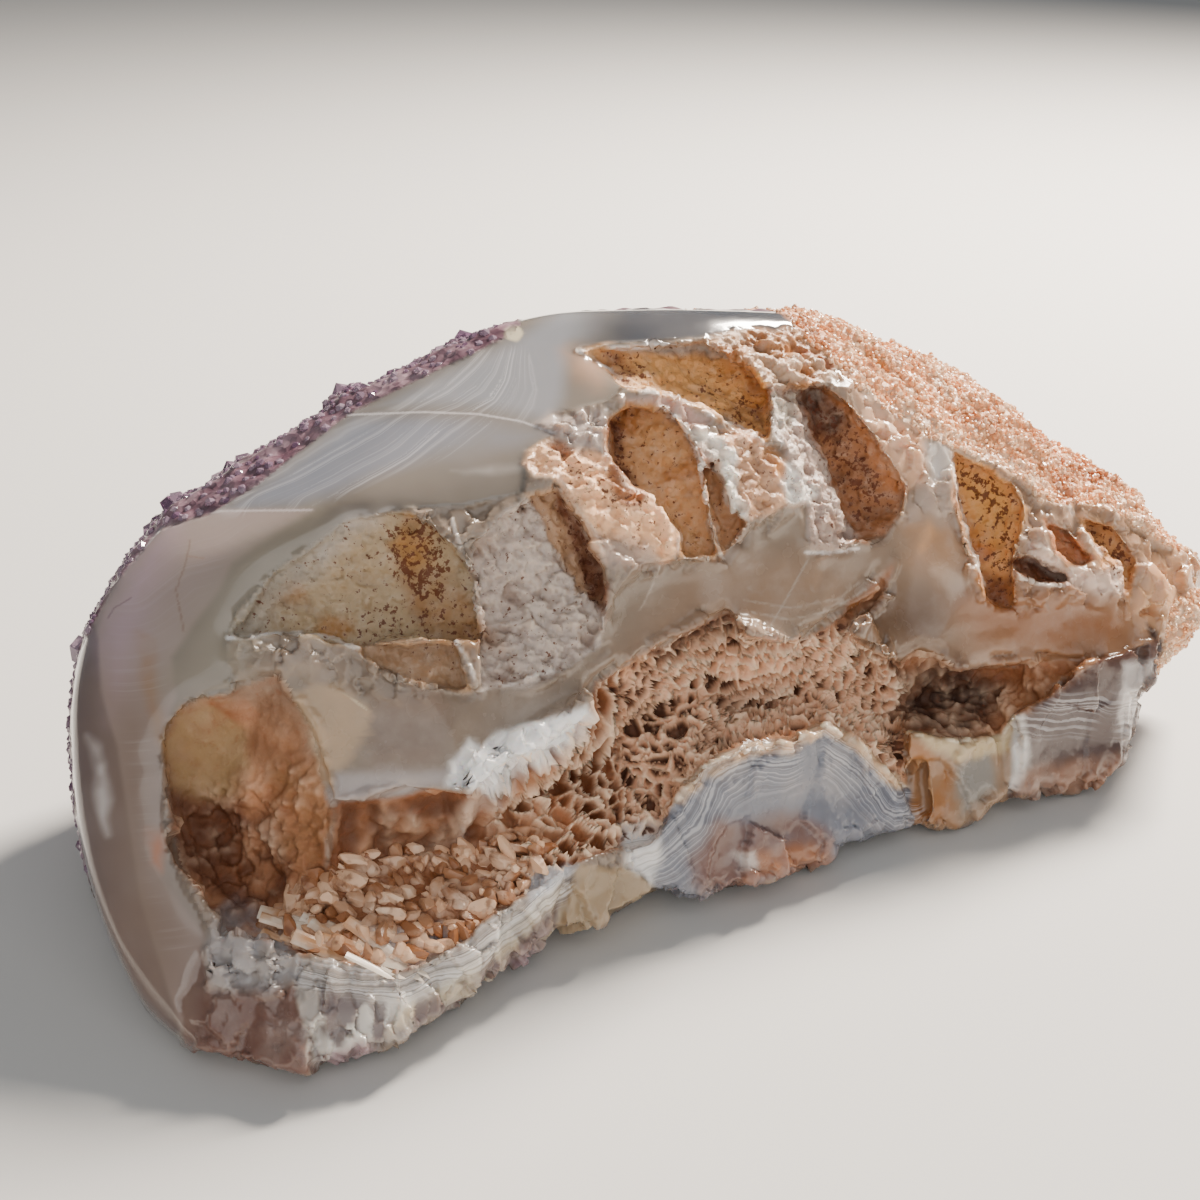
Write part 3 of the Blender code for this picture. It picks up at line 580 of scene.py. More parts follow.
# Regions of the front, as outlines of the picture.
regions = {
    "polished": [
        (60, 560), (120, 470), (420, 330), (520, 300), (800, 300), (796, 331), (740, 334), (700, 338),
        (623, 343), (577, 350), (609, 368), (629, 388), (606, 402), (551, 413), (536, 425), (556, 434),
        (530, 446), (524, 492), (470, 505), (410, 508), (347, 519), (320, 538), (274, 570), (232, 618),
        (224, 640), (232, 688), (186, 701), (164, 726), (160, 760), (164, 812), (172, 862), (190, 892),
        (215, 940), (203, 950), (203, 1010), (190, 1060), (60, 1060),
    ],
    "amethystRim": [
        (60, 700), (84, 640), (112, 588), (140, 552), (160, 528), (209, 514), (258, 484), (305, 447),
        (351, 412), (400, 388), (450, 364), (508, 336), (519, 328), (519, 290), (300, 290), (40, 560),
    ],
    "rind": [
        (770, 300), (800, 334), (838, 372), (868, 392), (904, 425), (950, 445), (1013, 472), (1041, 501),
        (1099, 505), (1127, 520), (1165, 545), (1215, 560), (1215, 300),
    ],
    "rightEnd": [(1173, 600), (1166, 630), (1150, 672), (1215, 700), (1215, 580)],
    "druse": [(690, 340), (740, 331), (800, 331), (838, 372), (804, 388), (772, 384), (752, 366), (730, 362)],
    "cheek": [
        (98, 628), (117, 579), (163, 526), (222, 511), (312, 510), (270, 535), (232, 563), (219, 590),
        (194, 623), (171, 657), (175, 697), (160, 740), (160, 880), (203, 934), (195, 991), (180, 1031),
        (140, 900), (117, 747), (106, 718), (98, 651),
    ],
    "shoulder": [
        (163, 525), (209, 514), (305, 447), (351, 412), (420, 410), (478, 414), (554, 432), (520, 450),
        (434, 463), (380, 480), (312, 510),
    ],
    "brow": [
        (351, 412), (425, 375), (508, 334), (560, 300), (800, 300), (796, 330), (623, 343), (577, 350),
        (570, 400), (554, 432), (478, 414),
    ],
    "farStrip": [
        (60, 600), (92, 619), (98, 640), (100, 690), (117, 747), (140, 900), (180, 1031), (150, 1040),
        (100, 930), (60, 800),
    ],
    "fingerOne": [
        (529, 452), (542, 440), (556, 434), (572, 446), (589, 449), (607, 458), (625, 485), (647, 496),
        (665, 521), (677, 534), (676, 552), (667, 561), (640, 556), (618, 540), (598, 530), (585, 516),
        (574, 503), (562, 485), (551, 478), (533, 478), (522, 463),
    ],
    "fingerTwo": [
        (708, 438), (741, 429), (768, 446), (788, 462), (815, 494), (810, 505), (782, 506), (748, 521),
        (732, 510), (722, 474), (700, 452),
    ],
    "granular": [
        (772, 388), (800, 392), (812, 437), (827, 470), (841, 512), (853, 536), (846, 552), (808, 552),
        (806, 505), (792, 462), (776, 430),
    ],
    "flake": [(536, 425), (551, 413), (576, 412), (606, 409), (608, 456), (589, 449), (572, 446), (556, 434)],
    "shards": [
        (200, 950), (212, 905), (240, 893), (262, 912), (290, 935), (302, 985), (268, 1000), (215, 1000),
    ],
    "sponge": [
        (618, 672), (656, 645), (728, 612), (751, 635), (843, 625), (893, 600), (905, 700), (904, 786),
        (862, 746), (824, 724), (747, 745), (702, 766), (655, 838), (622, 850), (612, 760),
    ],
    "crumbFloor": [
        (262, 930), (300, 880), (335, 862), (400, 850), (470, 846), (520, 830), (545, 850), (530, 880),
        (500, 905), (465, 936), (400, 962), (330, 952),
    ],
    "lipEnd": [
        (180, 1000), (203, 950), (212, 990), (268, 1000), (295, 985), (303, 1020), (320, 1075), (180, 1075),
    ],
    "lipLeft": [
        (290, 958), (330, 962), (400, 974), (465, 944), (520, 896), (577, 862), (570, 900), (550, 935),
        (470, 1000), (320, 1080), (303, 1020),
    ],
    "lipCream": [
        (577, 862), (620, 866), (658, 876), (672, 884), (650, 900), (580, 940), (545, 935), (562, 900),
    ],
    "lipBlue": [
        (620, 840), (658, 826), (679, 800), (702, 766), (747, 745), (790, 743), (824, 724), (862, 746),
        (904, 786), (930, 810), (920, 836), (830, 860), (690, 905), (640, 880),
    ],
    "lipStained": [
        (904, 760), (908, 733), (960, 742), (1000, 738), (1014, 716), (1020, 790), (945, 840), (915, 826),
    ],
    "lipRight": [
        (1014, 716), (1043, 702), (1071, 676), (1100, 656), (1160, 640), (1150, 760), (1100, 800),
        (1010, 800),
    ],
}
# The upper edge of the lip, where its bands begin.
lipLine = [
    (290, 952), (330, 960), (400, 972), (465, 942), (520, 892), (577, 858), (650, 842), (679, 798),
    (702, 766), (747, 745), (790, 741), (824, 724), (862, 745), (904, 786),
]
brownHollows = ("recess", "leftCavity")
glassyHollows = ("waist", "firstNotch", "secondNotch", "thirdNotch")
crispParts = ("polished", "cheek", "shoulder", "brow", "amethystRim", "farStrip")

lipLooks = {
    "lipEnd": "#6c5047",
    "lipLeft": "#a59c94",
    "lipCream": "#99856a",
    "lipBlue": "#777a84",
    "lipStained": "#9a8068",
    "lipRight": "#51423f",
}

# Each rough print of a crystal: its main colour, the colour of its stain, how much of it is stained, how many
# dark specks it has, and how rough it is.
castLooks = {
    "largeCast": ("#ad9574", "#a0733f", 0.15, 0.4, 0.6),
    "underLedge": ("#a98768", "#9a724e", 0.3, 0.1, 0.4),
    "greyCast": ("#bfafa4", "#9a8070", 0.3, 0.3, 1.3),
    "leafCast": ("#b38e6e", "#8f5c36", 0.25, 0.3, 0.6),
    "bigLeafCast": ("#c89463", "#b07845", 0.4, 0.3, 0.5),
    "thinWedgeCast": ("#bb8a62", "#8f5430", 0.35, 0.4, 0.5),
    "topCast": ("#dba365", "#b4763c", 0.4, 0.3, 0.6),
    "brownBladeCast": ("#93603c", "#643c20", 0.45, 0.4, 0.7),
    "rightCast": ("#df9f5f", "#bb7236", 0.35, 0.7, 0.6),
    "slot": ("#6e3c20", "#5a2c14", 0.9, 0.5, 0.6),
    "smallPocket": ("#b9774c", "#a05c30", 0.5, 0.1, 0.5),
    "rightBladeCast": ("#bb824e", "#9c5a2a", 0.4, 0.7, 0.6),
    "fingerOne": ("#f6bf90", "#a8693c", 0.45, 0.2, 1.0),
    "fingerTwo": ("#cb9c78", "#965c3a", 0.45, 0.2, 1.0),
    "granular": ("#b09a8e", "#8c6c5a", 0.4, 0.2, 1.1),
    "druse": ("#b99678", "#a8754a", 0.4, 0.1, 1.2),
}

# Patches of colour: the colour, how strong, how far it fades at its edge in picture units, how broken up it
# is, and its outline. The glows are painted light, and the patches named shade are painted shade.
stains = {
    "castGrains": ("#b8aca2", 0.85, 12, 0.4, [
        (226, 640), (230, 615), (276, 570), (345, 515), (385, 508), (372, 528), (330, 556), (285, 596),
        (262, 632),
    ]),
    "castGoldLeft": ("#90602f", 0.75, 12, 0.4, [
        (395, 560), (440, 570), (470, 600), (500, 645), (440, 650), (410, 610),
    ]),
    "facetBelow": ("#7c685a", 0.85, 12, 0.1, [
        (368, 700), (440, 690), (448, 720), (440, 764), (368, 768), (360, 740),
    ]),
    "footPlum": ("#8a727c", 0.85, 5, 0.4, [(495, 960), (548, 922), (558, 934), (520, 972), (500, 985)]),
    "footPlumLeft": ("#9a7f86", 0.8, 5, 0.4, [(316, 1062), (360, 1036), (376, 1048), (330, 1074)]),
    "browStreak": ("#b8b3ae", 0.5, 5, 0.4, [(455, 473), (500, 466), (528, 463), (526, 470), (490, 475)]),
    "waistChip": ("#c9b8a8", 0.8, 3, 0.1, [
        (932, 568), (942, 562), (972, 585), (962, 592), (950, 602), (944, 585),
    ]),
    "waistGlow": ("#dfae7e", 0.8, 6, 0, [(916, 548), (928, 522), (936, 526), (925, 554)]),
    "shardGrey": ("#a5a3a5", 0.8, 7, 0.5, [
        (205, 950), (215, 905), (240, 893), (264, 915), (292, 940), (300, 980), (262, 996), (212, 990),
    ]),
    "browGlow": ("#a8866e", 0.8, 16, 0, [(566, 350), (585, 356), (606, 370), (596, 386), (574, 372)]),
    "browDark": ("#74706c", 0.8, 26, 0, [
        (500, 445), (554, 432), (536, 425), (478, 424), (420, 462), (470, 470),
    ]),
    "cheekLilac": ("#a8919c", 0.7, 22, 0.2, [
        (98, 640), (130, 570), (175, 525), (160, 580), (130, 650), (112, 720),
    ]),
    "cheekLow": ("#7f6c5f", 0.9, 60, 0, [
        (98, 690), (172, 700), (176, 860), (203, 940), (180, 1031), (140, 1010), (98, 930),
    ]),
    "cheekOlive": ("#8d8475", 0.9, 30, 0, [
        (312, 512), (250, 545), (200, 610), (160, 690), (230, 690), (330, 530),
    ]),
    "cheekStain": ("#8d6a48", 0.5, 8, 0.7, [
        (138, 632), (152, 640), (160, 700), (168, 760), (150, 720), (138, 680),
    ]),
    "orangeSpot": ("#a05c2c", 0.9, 8, 0.6, [(150, 831), (160, 829), (166, 850), (162, 868), (153, 862)]),
    "stripChalk": ("#c9c2be", 0.7, 8, 0.6, [(90, 738), (100, 745), (112, 800), (108, 835), (98, 810)]),
    "oliveBelow": ("#80705f", 0.75, 20, 0.2, [
        (232, 688), (300, 668), (366, 700), (366, 760), (332, 800), (300, 740),
    ]),
    "creamLobe": ("#b79c7e", 0.9, 5, 0.2, [
        (294, 690), (330, 682), (352, 694), (370, 711), (366, 730), (352, 752), (338, 772), (328, 790),
        (312, 745),
    ]),
    "creamUpper": ("#a08158", 0.9, 9, 0.35, [
        (166, 742), (180, 712), (205, 700), (232, 702), (250, 728), (252, 768), (240, 794), (200, 800),
        (172, 788),
    ]),
    "brownTongue": ("#7e5130", 0.9, 7, 0.4, [
        (258, 694), (290, 690), (298, 720), (306, 790), (262, 780), (250, 735),
    ]),
    "brownStreak": ("#94542a", 0.9, 4, 0.5, [(208, 702), (246, 698), (262, 712), (240, 722), (222, 712)]),
    "cavityDark": ("#5a3018", 0.8, 14, 0.5, [
        (170, 790), (230, 800), (300, 830), (290, 900), (235, 920), (190, 870),
    ]),
    "cavityTan": ("#9a6c45", 0.7, 10, 0.6, [(262, 757), (325, 765), (335, 830), (312, 880), (280, 850)]),
    "recessShade": ("#54301a", 0.8, 14, 0.4, [(334, 800), (470, 796), (478, 850), (400, 862), (336, 850)]),
    "rightShade": ("#3c1e0c", 1.0, 14, 0.2, [(895, 668), (960, 660), (1010, 690), (985, 735), (905, 730)]),
    "rightFloor": ("#93633f", 0.8, 10, 0.4, [(1000, 690), (1092, 656), (1060, 690), (1010, 720)]),
    "waistRight": ("#85502a", 0.85, 40, 0.1, [
        (960, 600), (1060, 590), (1130, 610), (1130, 640), (1050, 660), (980, 640),
    ]),
    "waistPeach": ("#b88c66", 0.6, 20, 0.2, [(905, 520), (950, 520), (975, 570), (940, 580), (910, 560)]),
    "waistCool": ("#5c422c", 0.85, 30, 0, [(850, 600), (930, 590), (960, 650), (870, 650)]),
    "waistWarm": ("#94775f", 0.6, 30, 0, [(700, 560), (830, 550), (850, 590), (740, 640), (620, 650)]),
    "ceilingPale": ("#aba29f", 0.9, 8, 0.1, [(335, 772), (445, 768), (448, 784), (400, 794), (333, 800)]),
    "whiteRibs": ("#fbfaf8", 1.0, 5, 0.05, [
        (445, 785), (450, 758), (468, 737), (483, 745), (504, 728), (546, 719), (584, 705), (590, 717),
        (564, 742), (549, 760), (522, 778), (498, 803), (474, 790),
    ]),
    "archPale": ("#b9a090", 0.8, 5, 0.3, [
        (474, 790), (498, 803), (470, 822), (465, 850), (455, 850), (456, 815),
    ]),
    "columns": ("#bd8e6c", 0.7, 8, 0.6, [(500, 790), (550, 760), (560, 850), (530, 850), (505, 840)]),
    "flakeGlow": ("#b4a49c", 0.8, 6, 0.2, [(536, 425), (551, 413), (606, 409), (608, 455), (572, 446)]),
    # painted shade on the deep right wall of the leaf cast
    "leafWall": ("#6e3a1c", 0.9, 5, 0.5, [
        (554, 487), (566, 497), (580, 522), (596, 556), (607, 590), (603, 618), (590, 600), (574, 560),
        (562, 520),
    ]),
    "fingerRib": ("#e2b491", 0.95, 4, 0.1, [
        (554, 474), (566, 480), (578, 503), (590, 518), (603, 532), (608, 562), (596, 548), (584, 523),
        (570, 503),
    ]),
    "fingerBelow": ("#b1998a", 0.9, 9, 0.1, [(600, 530), (640, 540), (668, 562), (620, 570), (604, 560)]),
    # iron stain and painted shade down the deep left side of the big leaf cast
    "leafDark": ("#6a3a1c", 0.95, 6, 0.5, [
        (608, 420), (622, 424), (626, 460), (636, 485), (618, 480), (608, 456),
    ]),
    "leafGold": ("#c8935c", 0.7, 10, 0.2, [(640, 410), (675, 425), (692, 460), (670, 470), (645, 440)]),
    "betweenLeaves": ("#bf9f92", 0.9, 5, 0.2, [
        (618, 398), (663, 394), (694, 405), (714, 418), (700, 436), (679, 418), (650, 402), (625, 402),
    ]),
    "whiteLeft": ("#f4eee2", 1.0, 5, 0.3, [
        (690, 432), (716, 436), (734, 452), (738, 480), (744, 505), (747, 522), (732, 514), (724, 480),
        (712, 455),
    ]),
    "whiteRight": ("#f2eee6", 1.0, 5, 0.3, [
        (785, 458), (793, 464), (815, 493), (808, 505), (788, 503), (782, 482),
    ]),
    "orangeTips": ("#cf8a4a", 0.8, 5, 0.4, [(770, 448), (788, 458), (786, 476), (774, 470)]),
    "topBrown": ("#8a5a3a", 0.9, 7, 0.4, [(600, 358), (622, 354), (640, 372), (630, 386), (612, 372)]),
    "topGrey": ("#a5a19c", 0.9, 5, 0.1, [
        (600, 350), (650, 345), (700, 343), (730, 360), (690, 356), (625, 354),
    ]),
    "topOrange": ("#d09048", 0.9, 7, 0.3, [(728, 362), (738, 374), (736, 392), (722, 386), (718, 368)]),
    "topOrangeTwo": ("#cf9450", 0.8, 6, 0.3, [(744, 392), (764, 386), (766, 402), (750, 408)]),
    "topDark": ("#6f4424", 0.8, 8, 0.5, [(730, 405), (766, 408), (768, 440), (740, 428), (722, 415)]),
    "clearTop": ("#c4bcae", 0.9, 6, 0.3, [(772, 392), (798, 396), (800, 425), (780, 430)]),
    # painted shade in the deep upper left of the brown blade cast
    "bladeDark": ("#3a1c0e", 0.95, 8, 0.4, [(802, 390), (820, 388), (845, 420), (838, 440), (812, 430)]),
    "bladeGlow": ("#b06a34", 0.8, 8, 0.4, [(838, 402), (872, 437), (902, 488), (892, 500), (860, 440)]),
    "peachRib": ("#dcae8c", 0.9, 9, 0.1, [
        (846, 385), (880, 400), (925, 440), (920, 490), (906, 490), (880, 440),
    ]),
    "frost": ("#eae4de", 0.9, 7, 0.4, [(922, 440), (950, 446), (952, 476), (934, 482), (924, 465)]),
    "paleNeck": ("#b5a193", 0.7, 12, 0.1, [(925, 480), (955, 480), (965, 540), (935, 520), (905, 520)]),
    "castGold": ("#d1974f", 0.8, 10, 0.2, [(958, 470), (998, 480), (1012, 510), (1000, 550), (975, 540)]),
    "castFoot": ("#7c4422", 0.9, 8, 0.3, [(978, 568), (1012, 575), (1014, 608), (990, 605)]),
    "twistedRibs": ("#dcc0ae", 0.9, 5, 0.2, [
        (1021, 538), (1044, 545), (1066, 568), (1097, 572), (1119, 568), (1120, 594), (1096, 594),
        (1060, 575), (1030, 560),
    ]),
    "endPeach": ("#d0a078", 0.8, 12, 0.1, [(1150, 560), (1195, 570), (1180, 610), (1150, 630), (1130, 610)]),
    # painted shade of a small hole at the right end
    "endHole": ("#3d2010", 1.0, 3, 0, [(1149, 622), (1159, 634), (1156, 646), (1150, 640)]),
    "crackBrown": ("#8f5c38", 0.95, 5, 0.4, [
        (893, 566), (884, 590), (862, 608), (843, 630), (850, 600), (875, 580),
    ]),
    "underLip": ("#6e4a34", 0.8, 6, 0.3, [(650, 650), (728, 610), (740, 618), (700, 640), (660, 662)]),
    "blueWhite": ("#e9e6e2", 0.9, 6, 0.4, [(622, 826), (658, 818), (662, 860), (650, 884), (624, 866)]),
    "blueCrust": ("#e0bd96", 0.9, 4, 0.4, [
        (676, 800), (700, 768), (745, 745), (790, 742), (824, 722), (864, 745), (906, 786), (896, 790),
        (860, 756), (824, 734), (792, 752), (748, 758), (712, 776), (688, 806),
    ]),
    "bluePink": ("#77584d", 0.9, 10, 0.2, [
        (715, 822), (800, 812), (832, 838), (828, 866), (700, 896), (690, 860),
    ]),
    "blueOrange": ("#a8704a", 0.7, 8, 0.4, [(740, 850), (830, 845), (832, 862), (740, 884)]),
    "bluePale": ("#dcd6d0", 0.8, 5, 0.3, [(734, 852), (756, 850), (756, 868), (738, 866)]),
    "stainedFlank": ("#9c6738", 0.9, 8, 0.5, [(905, 740), (930, 745), (952, 770), (955, 826), (915, 822)]),
    "stainedCream": ("#c9b48c", 0.9, 6, 0.2, [
        (908, 733), (960, 741), (1000, 736), (1014, 720), (1010, 750), (960, 762),
    ]),
    "stainedClear": ("#8d8a84", 0.9, 6, 0.1, [(956, 765), (990, 752), (996, 790), (965, 815)]),
    "rightRidge": ("#e8e4de", 0.9, 4, 0.3, [(1012, 716), (1024, 712), (1030, 745), (1020, 792), (1012, 790)]),
    "rightFoot": ("#a07860", 0.7, 9, 0.3, [(1020, 772), (1120, 758), (1100, 800), (1016, 796)]),
    "rightEdge": ("#ded8d4", 0.8, 4, 0.4, [(1124, 664), (1152, 662), (1134, 704), (1124, 755), (1118, 720)]),
    "leftEdge": ("#e9e4da", 0.8, 8, 0.6, [
        (303, 1020), (403, 986), (470, 950), (555, 884), (552, 920), (440, 1000), (312, 1062),
    ]),
    "leftCream": ("#c0ad8a", 0.7, 8, 0.5, [
        (400, 1010), (500, 950), (560, 890), (550, 930), (470, 990), (390, 1030),
    ]),
    "cornerPink": ("#684a40", 0.9, 10, 0.1, [(200, 1000), (290, 985), (303, 1040), (280, 1066), (195, 1050)]),
    "glassChip": ("#c2c6cc", 0.9, 4, 0.2, [(522, 880), (560, 862), (576, 862), (560, 880), (530, 900)]),
    "bluePlates": ("#9a9ea6", 0.9, 6, 0.3, [(370, 930), (440, 925), (455, 945), (400, 968), (372, 955)]),
}

# Raised edges and cracks: the colour, half the width in picture units, the height in millimetres (a crack is
# below zero), and the path. The pale colours along the raised edges are partly white crust and partly painted
# highlight.
crests = {
    "topEdge": ("#f2efec", 4, 0.35, [(578, 351), (596, 347), (625, 348), (665, 342), (690, 341)]),
    "topLeftEdge": ("#e6dcd4", 2.5, 0.25, [(578, 351), (609, 368), (628, 388)]),
    "upperRidge": ("#eadfd8", 3, 0.4, [
        (622, 390), (663, 393), (694, 404), (714, 417), (741, 428), (768, 447),
    ]),
    "leafEdge": ("#efe4da", 3, 0.4, [
        (606, 410), (618, 399), (638, 402), (661, 412), (679, 418), (692, 441), (700, 460), (703, 490),
        (709, 521), (722, 558),
    ]),
    "wedgeEdge": ("#e6d6c8", 2.5, 0.3, [(702, 462), (722, 472)]),
    "fingerEdge": ("#eecdb2", 3, 0.35, [
        (607, 458), (625, 485), (647, 496), (665, 520), (678, 534), (677, 552),
    ]),
    "fingerLeft": ("#f0d2b8", 2.5, 0.3, [(552, 472), (566, 485), (578, 508), (594, 530), (606, 560)]),
    "castMiddle": ("#d8ccc2", 3, 0.4, [(452, 520), (462, 556), (474, 575), (478, 618), (484, 646)]),
    "ledgeEdge": ("#f0ebe6", 4, 0.3, [(228, 638), (299, 633), (332, 638), (362, 651)]),
    "ledgeLower": ("#ded4cc", 3, 0.3, [
        (456, 642), (470, 664), (478, 690), (510, 684), (560, 668), (604, 640),
    ]),
    "granularFoot": ("#e6dcd6", 3, 0.3, [(806, 552), (830, 553), (846, 550), (858, 548)]),
    "granularSide": ("#dcd2cc", 3, 0.3, [(770, 388), (772, 420), (786, 452)]),
    "waistCrack": ("#aea398", 1.4, -0.06, [(812, 552), (800, 574), (786, 600), (766, 634)]),
    "waistArcOne": ("#b3a79b", 1.6, 0.05, [(752, 612), (790, 620), (832, 610), (868, 588)]),
    "waistArcTwo": ("#a99d91", 1.4, 0.04, [(744, 600), (790, 608), (840, 598), (862, 580)]),
    "waistArcThree": ("#a0948a", 1.2, 0, [(748, 588), (790, 596), (832, 586)]),
    "waistRay": ("#b3a79b", 1.4, 0.04, [(640, 610), (655, 580), (660, 565)]),
    "rightEdgeOne": ("#ead2c0", 3, 0.4, [(1021, 538), (1041, 546), (1062, 566), (1083, 572), (1118, 569)]),
    "rightEdgeTwo": ("#ead2c0", 3, 0.4, [(1069, 505), (1076, 526), (1091, 543), (1112, 566), (1119, 592)]),
    "slotEdge": ("#ead8ca", 3, 0.3, [(1020, 578), (1040, 584), (1064, 586), (1075, 577)]),
    "castRightEdge": ("#ead6c4", 2.5, 0.3, [(951, 452), (958, 500), (968, 540), (980, 575), (992, 606)]),
    "grooveOne": ("#8f4a22", 5, -0.7, [(790, 350), (812, 352), (832, 366)]),
    "grooveTwo": ("#b4702c", 6, -0.9, [(842, 338), (862, 352), (888, 368)]),
    "cheekCrack": ("#7c6350", 1.6, 0, [(190, 540), (186, 562), (176, 590), (184, 632)]),
    "cheekBranch": ("#8d7464", 1.4, 0, [(188, 556), (203, 558)]),
    "purpleCrack": ("#6e5260", 1.5, 0, [(131, 598), (114, 608), (108, 618)]),
    "facetLine": ("#d4d0d2", 1.6, 0, [
        (343, 415), (371, 414), (423, 412), (478, 414), (520, 421), (554, 433),
    ]),
    "cheekLine": ("#cfc6c6", 1.8, 0, [(117, 579), (163, 526), (194, 515), (222, 511), (312, 510)]),
    "stainedRidge": ("#e6d6b8", 3, 0.3, [(908, 733), (956, 741), (1000, 738), (1014, 716)]),
    "blueCrest": ("#ecdcc4", 3, 0.3, [
        (679, 800), (702, 767), (747, 746), (790, 744), (824, 724), (862, 746), (904, 786),
    ]),
    "domeEdge": ("#d2bf9f", 1.6, 0.12, [(338, 690), (354, 700), (370, 712)]),
    "archEdge": ("#cdbdb2", 3, 0.4, [(470, 790), (462, 808), (462, 850)]),
    "columnOne": ("#cfa888", 3, 0.6, [(512, 780), (514, 815), (508, 850)]),
    "columnTwo": ("#cfa888", 3, 0.6, [(536, 772), (540, 810), (535, 850)]),
}


def outlineOf(name):
    if name in hollows:
        return [(x, y) for x, y, _ in hollows[name][0]]
    if name in plates:
        return [(x, y) for x, y, _ in plates[name][0]]
    return regions[name]


def near(x, y, seen, path, margin, closed=True):
    # reach, worked out only for the seen points whose box the outline touches
    corners = np.array(path)
    low, high = corners.min(axis=0) - margin, corners.max(axis=0) + margin
    chosen = seen & (x > low[0]) & (x < high[0]) & (y > low[1]) & (y < high[1])
    value = np.full(len(x), -float(margin) if closed else float(margin))
    value[chosen] = reach(x[chosen], y[chosen], path, closed)
    return value


def zonesAt(points, normals):
    # how much each point belongs to each part of the stone, 0 to 1
    x, y = picturePoints(points)
    behind = behindSkin(points, x, y)
    shallow = ease(behind, 16, 13)
    facing = -normals @ np.array(forward)
    ragged = lumps(points, 4, 53) + lumps(points, 1.5, 54) * 0.5
    toward = ease(facing + ragged * 0.15, -0.42, -0.25)
    turned = ease(-facing, 0.05, 0.25)
    crispX = x + turned * ragged * 30
    warpX = x + lumps(points, 3.2, 41) * 4 + lumps(points, 1.3, 43) * 3
    warpY = y + lumps(points, 3.2, 42) * 4 + lumps(points, 1.3, 44) * 3
    seen = shallow > 0
    zone = {"x": x, "y": y, "behind": behind, "warpX": warpX, "warpY": warpY, "seen": seen}
    for name in list(regions) + list(hollows) + list(plates):
        crisp = name in crispParts
        zone[name] = near(crispX if crisp else warpX, y if crisp else warpY, seen, outlineOf(name), 60)
    # the walls of a hollow count as front also where they face away
    carvedOut = np.maximum.reduce([zone[name] for name in hollows])
    inside = (carvedOut > -5) & (behind > 0.6)
    zone["carvedOut"] = carvedOut
    inside |= (near(x, y, seen, silhouette, 30) > 7) & (behind < 4)
    zone["front"] = front = shallow * np.maximum(toward, inside)
    zone["brown"] = front * np.maximum.reduce([ease(zone[name], -1, 7) for name in brownHollows])
    zone["cast"] = front * np.maximum.reduce([ease(zone[name], -4, 4) for name in castLooks])
    zone["cast"] *= 1 - zone["brown"]
    high = points[:, 2] / mm
    wander = lumps(points, 9, 49) * 7 + lumps(points, 2.5, 50) * 3
    backRind = ease(points[:, 0] / mm + (high - 22) * 0.6 + wander, 20, 24) * ease(high + wander * 0.6, 12, 16)
    onFront = front * ease(np.maximum(zone["rind"], zone["rightEnd"]), -4, 4)
    zone["rindAmount"] = np.maximum(onFront, (1 - front) * backRind) * (1 - zone["cast"])
    onBack = (1 - front) * (1 - backRind) * ease(high, 2, 5)
    zone["rim"] = np.maximum(front * ease(zone["amethystRim"], -2, 2), onBack)
    others = (1 - zone["brown"]) * (1 - zone["cast"]) * (1 - zone["rim"])
    zone["gloss"] = front * ease(zone["polished"], -2, 2) * others
    zone["lip"] = front * np.maximum.reduce([ease(zone[name], -3, 3) for name in lipLooks])
    # the lip is chipped along its foot and its top, and all over at the left
    lipInset = np.minimum.reduce([np.abs(near(x, y, seen, path, 60, False)) for path in (lipLine, silhouette)])
    calmer = 1 - ease(np.maximum(zone["lipEnd"], zone["lipCream"]), -4, 4) * 0.7
    zone["lipEdge"] = np.maximum(ease(lipInset, 16, 5), ease(x, 600, 480) * 0.8) * calmer
    zone["glassy"] = front * others * (1 - zone["gloss"]) * (1 - zone["rindAmount"]) * (1 - zone["lip"])
    zone["under"] = ease(high, 1.2, 0.2)
    zone["ragged"] = 0.55 + lumps(points, 0.9, 48) * 0.9
    # far from the edge of every hollow
    inHollow = [zone[name] for name in hollows if name not in glassyHollows]
    zone["away"] = ease(-np.maximum.reduce(inHollow), 3, 12)
    return zone


def crestLift(zone):
    # how far the raised edges lift the surface, in millimetres
    lift = np.zeros(len(zone["x"]))
    for _, half, height, path in crests.values():
        if height:
            gap = near(zone["x"], zone["y"], zone["seen"], path, half * 3, False)
            lift += height * 0.8 * np.clip(1 - gap / (half * 1.2), 0, 1) * zone["front"] * zone["ragged"]
    return lift


print("smoothing and roughening")
zone = zonesAt(points, normalsOf(points, quads))
everywhere = np.ones(len(points))
points = relax(points, quads, everywhere * 0.5, 1)
smooth = np.maximum(zone["gloss"], zone["glassy"] * zone["away"]) * (1 - zone["under"])
points = relax(points, quads, smooth * 0.9, 30)
points = relax(points, quads, np.maximum(zone["lip"], zone["cast"]) * 0.5, 1)
normals = normalsOf(points, quads)
zone = zonesAt(points, normals)
knobs, _, _ = grains(points, 2.6, 3)
scoops, _, _ = grains(points + lumps(points, 6, 18)[:, None] * 1.5 * mm, 11, 9)
chips = facets(points * np.array([1.3, 1, 0.8]), 7.0, 19)
edgeChips = facets(points * np.array([1.4, 1, 0.7]), 3.4, 24) * ease(lumps(points, 6, 25), -0.3, 0.3)
flakes = facets(points, 4.2, 23)
move = (zone["rim"] * 0.8 + zone["rindAmount"] * 0.45) * (0.55 - knobs)
move += zone["lip"] * (chips * 1.1 + edgeChips * 0.9 * zone["lipEdge"] + lumps(points, 2.4, 17) * 0.08)
move += zone["cast"] * (lumps(points, 2.4, 12) * 0.22 + lumps(points, 1.0, 13) * 0.12)
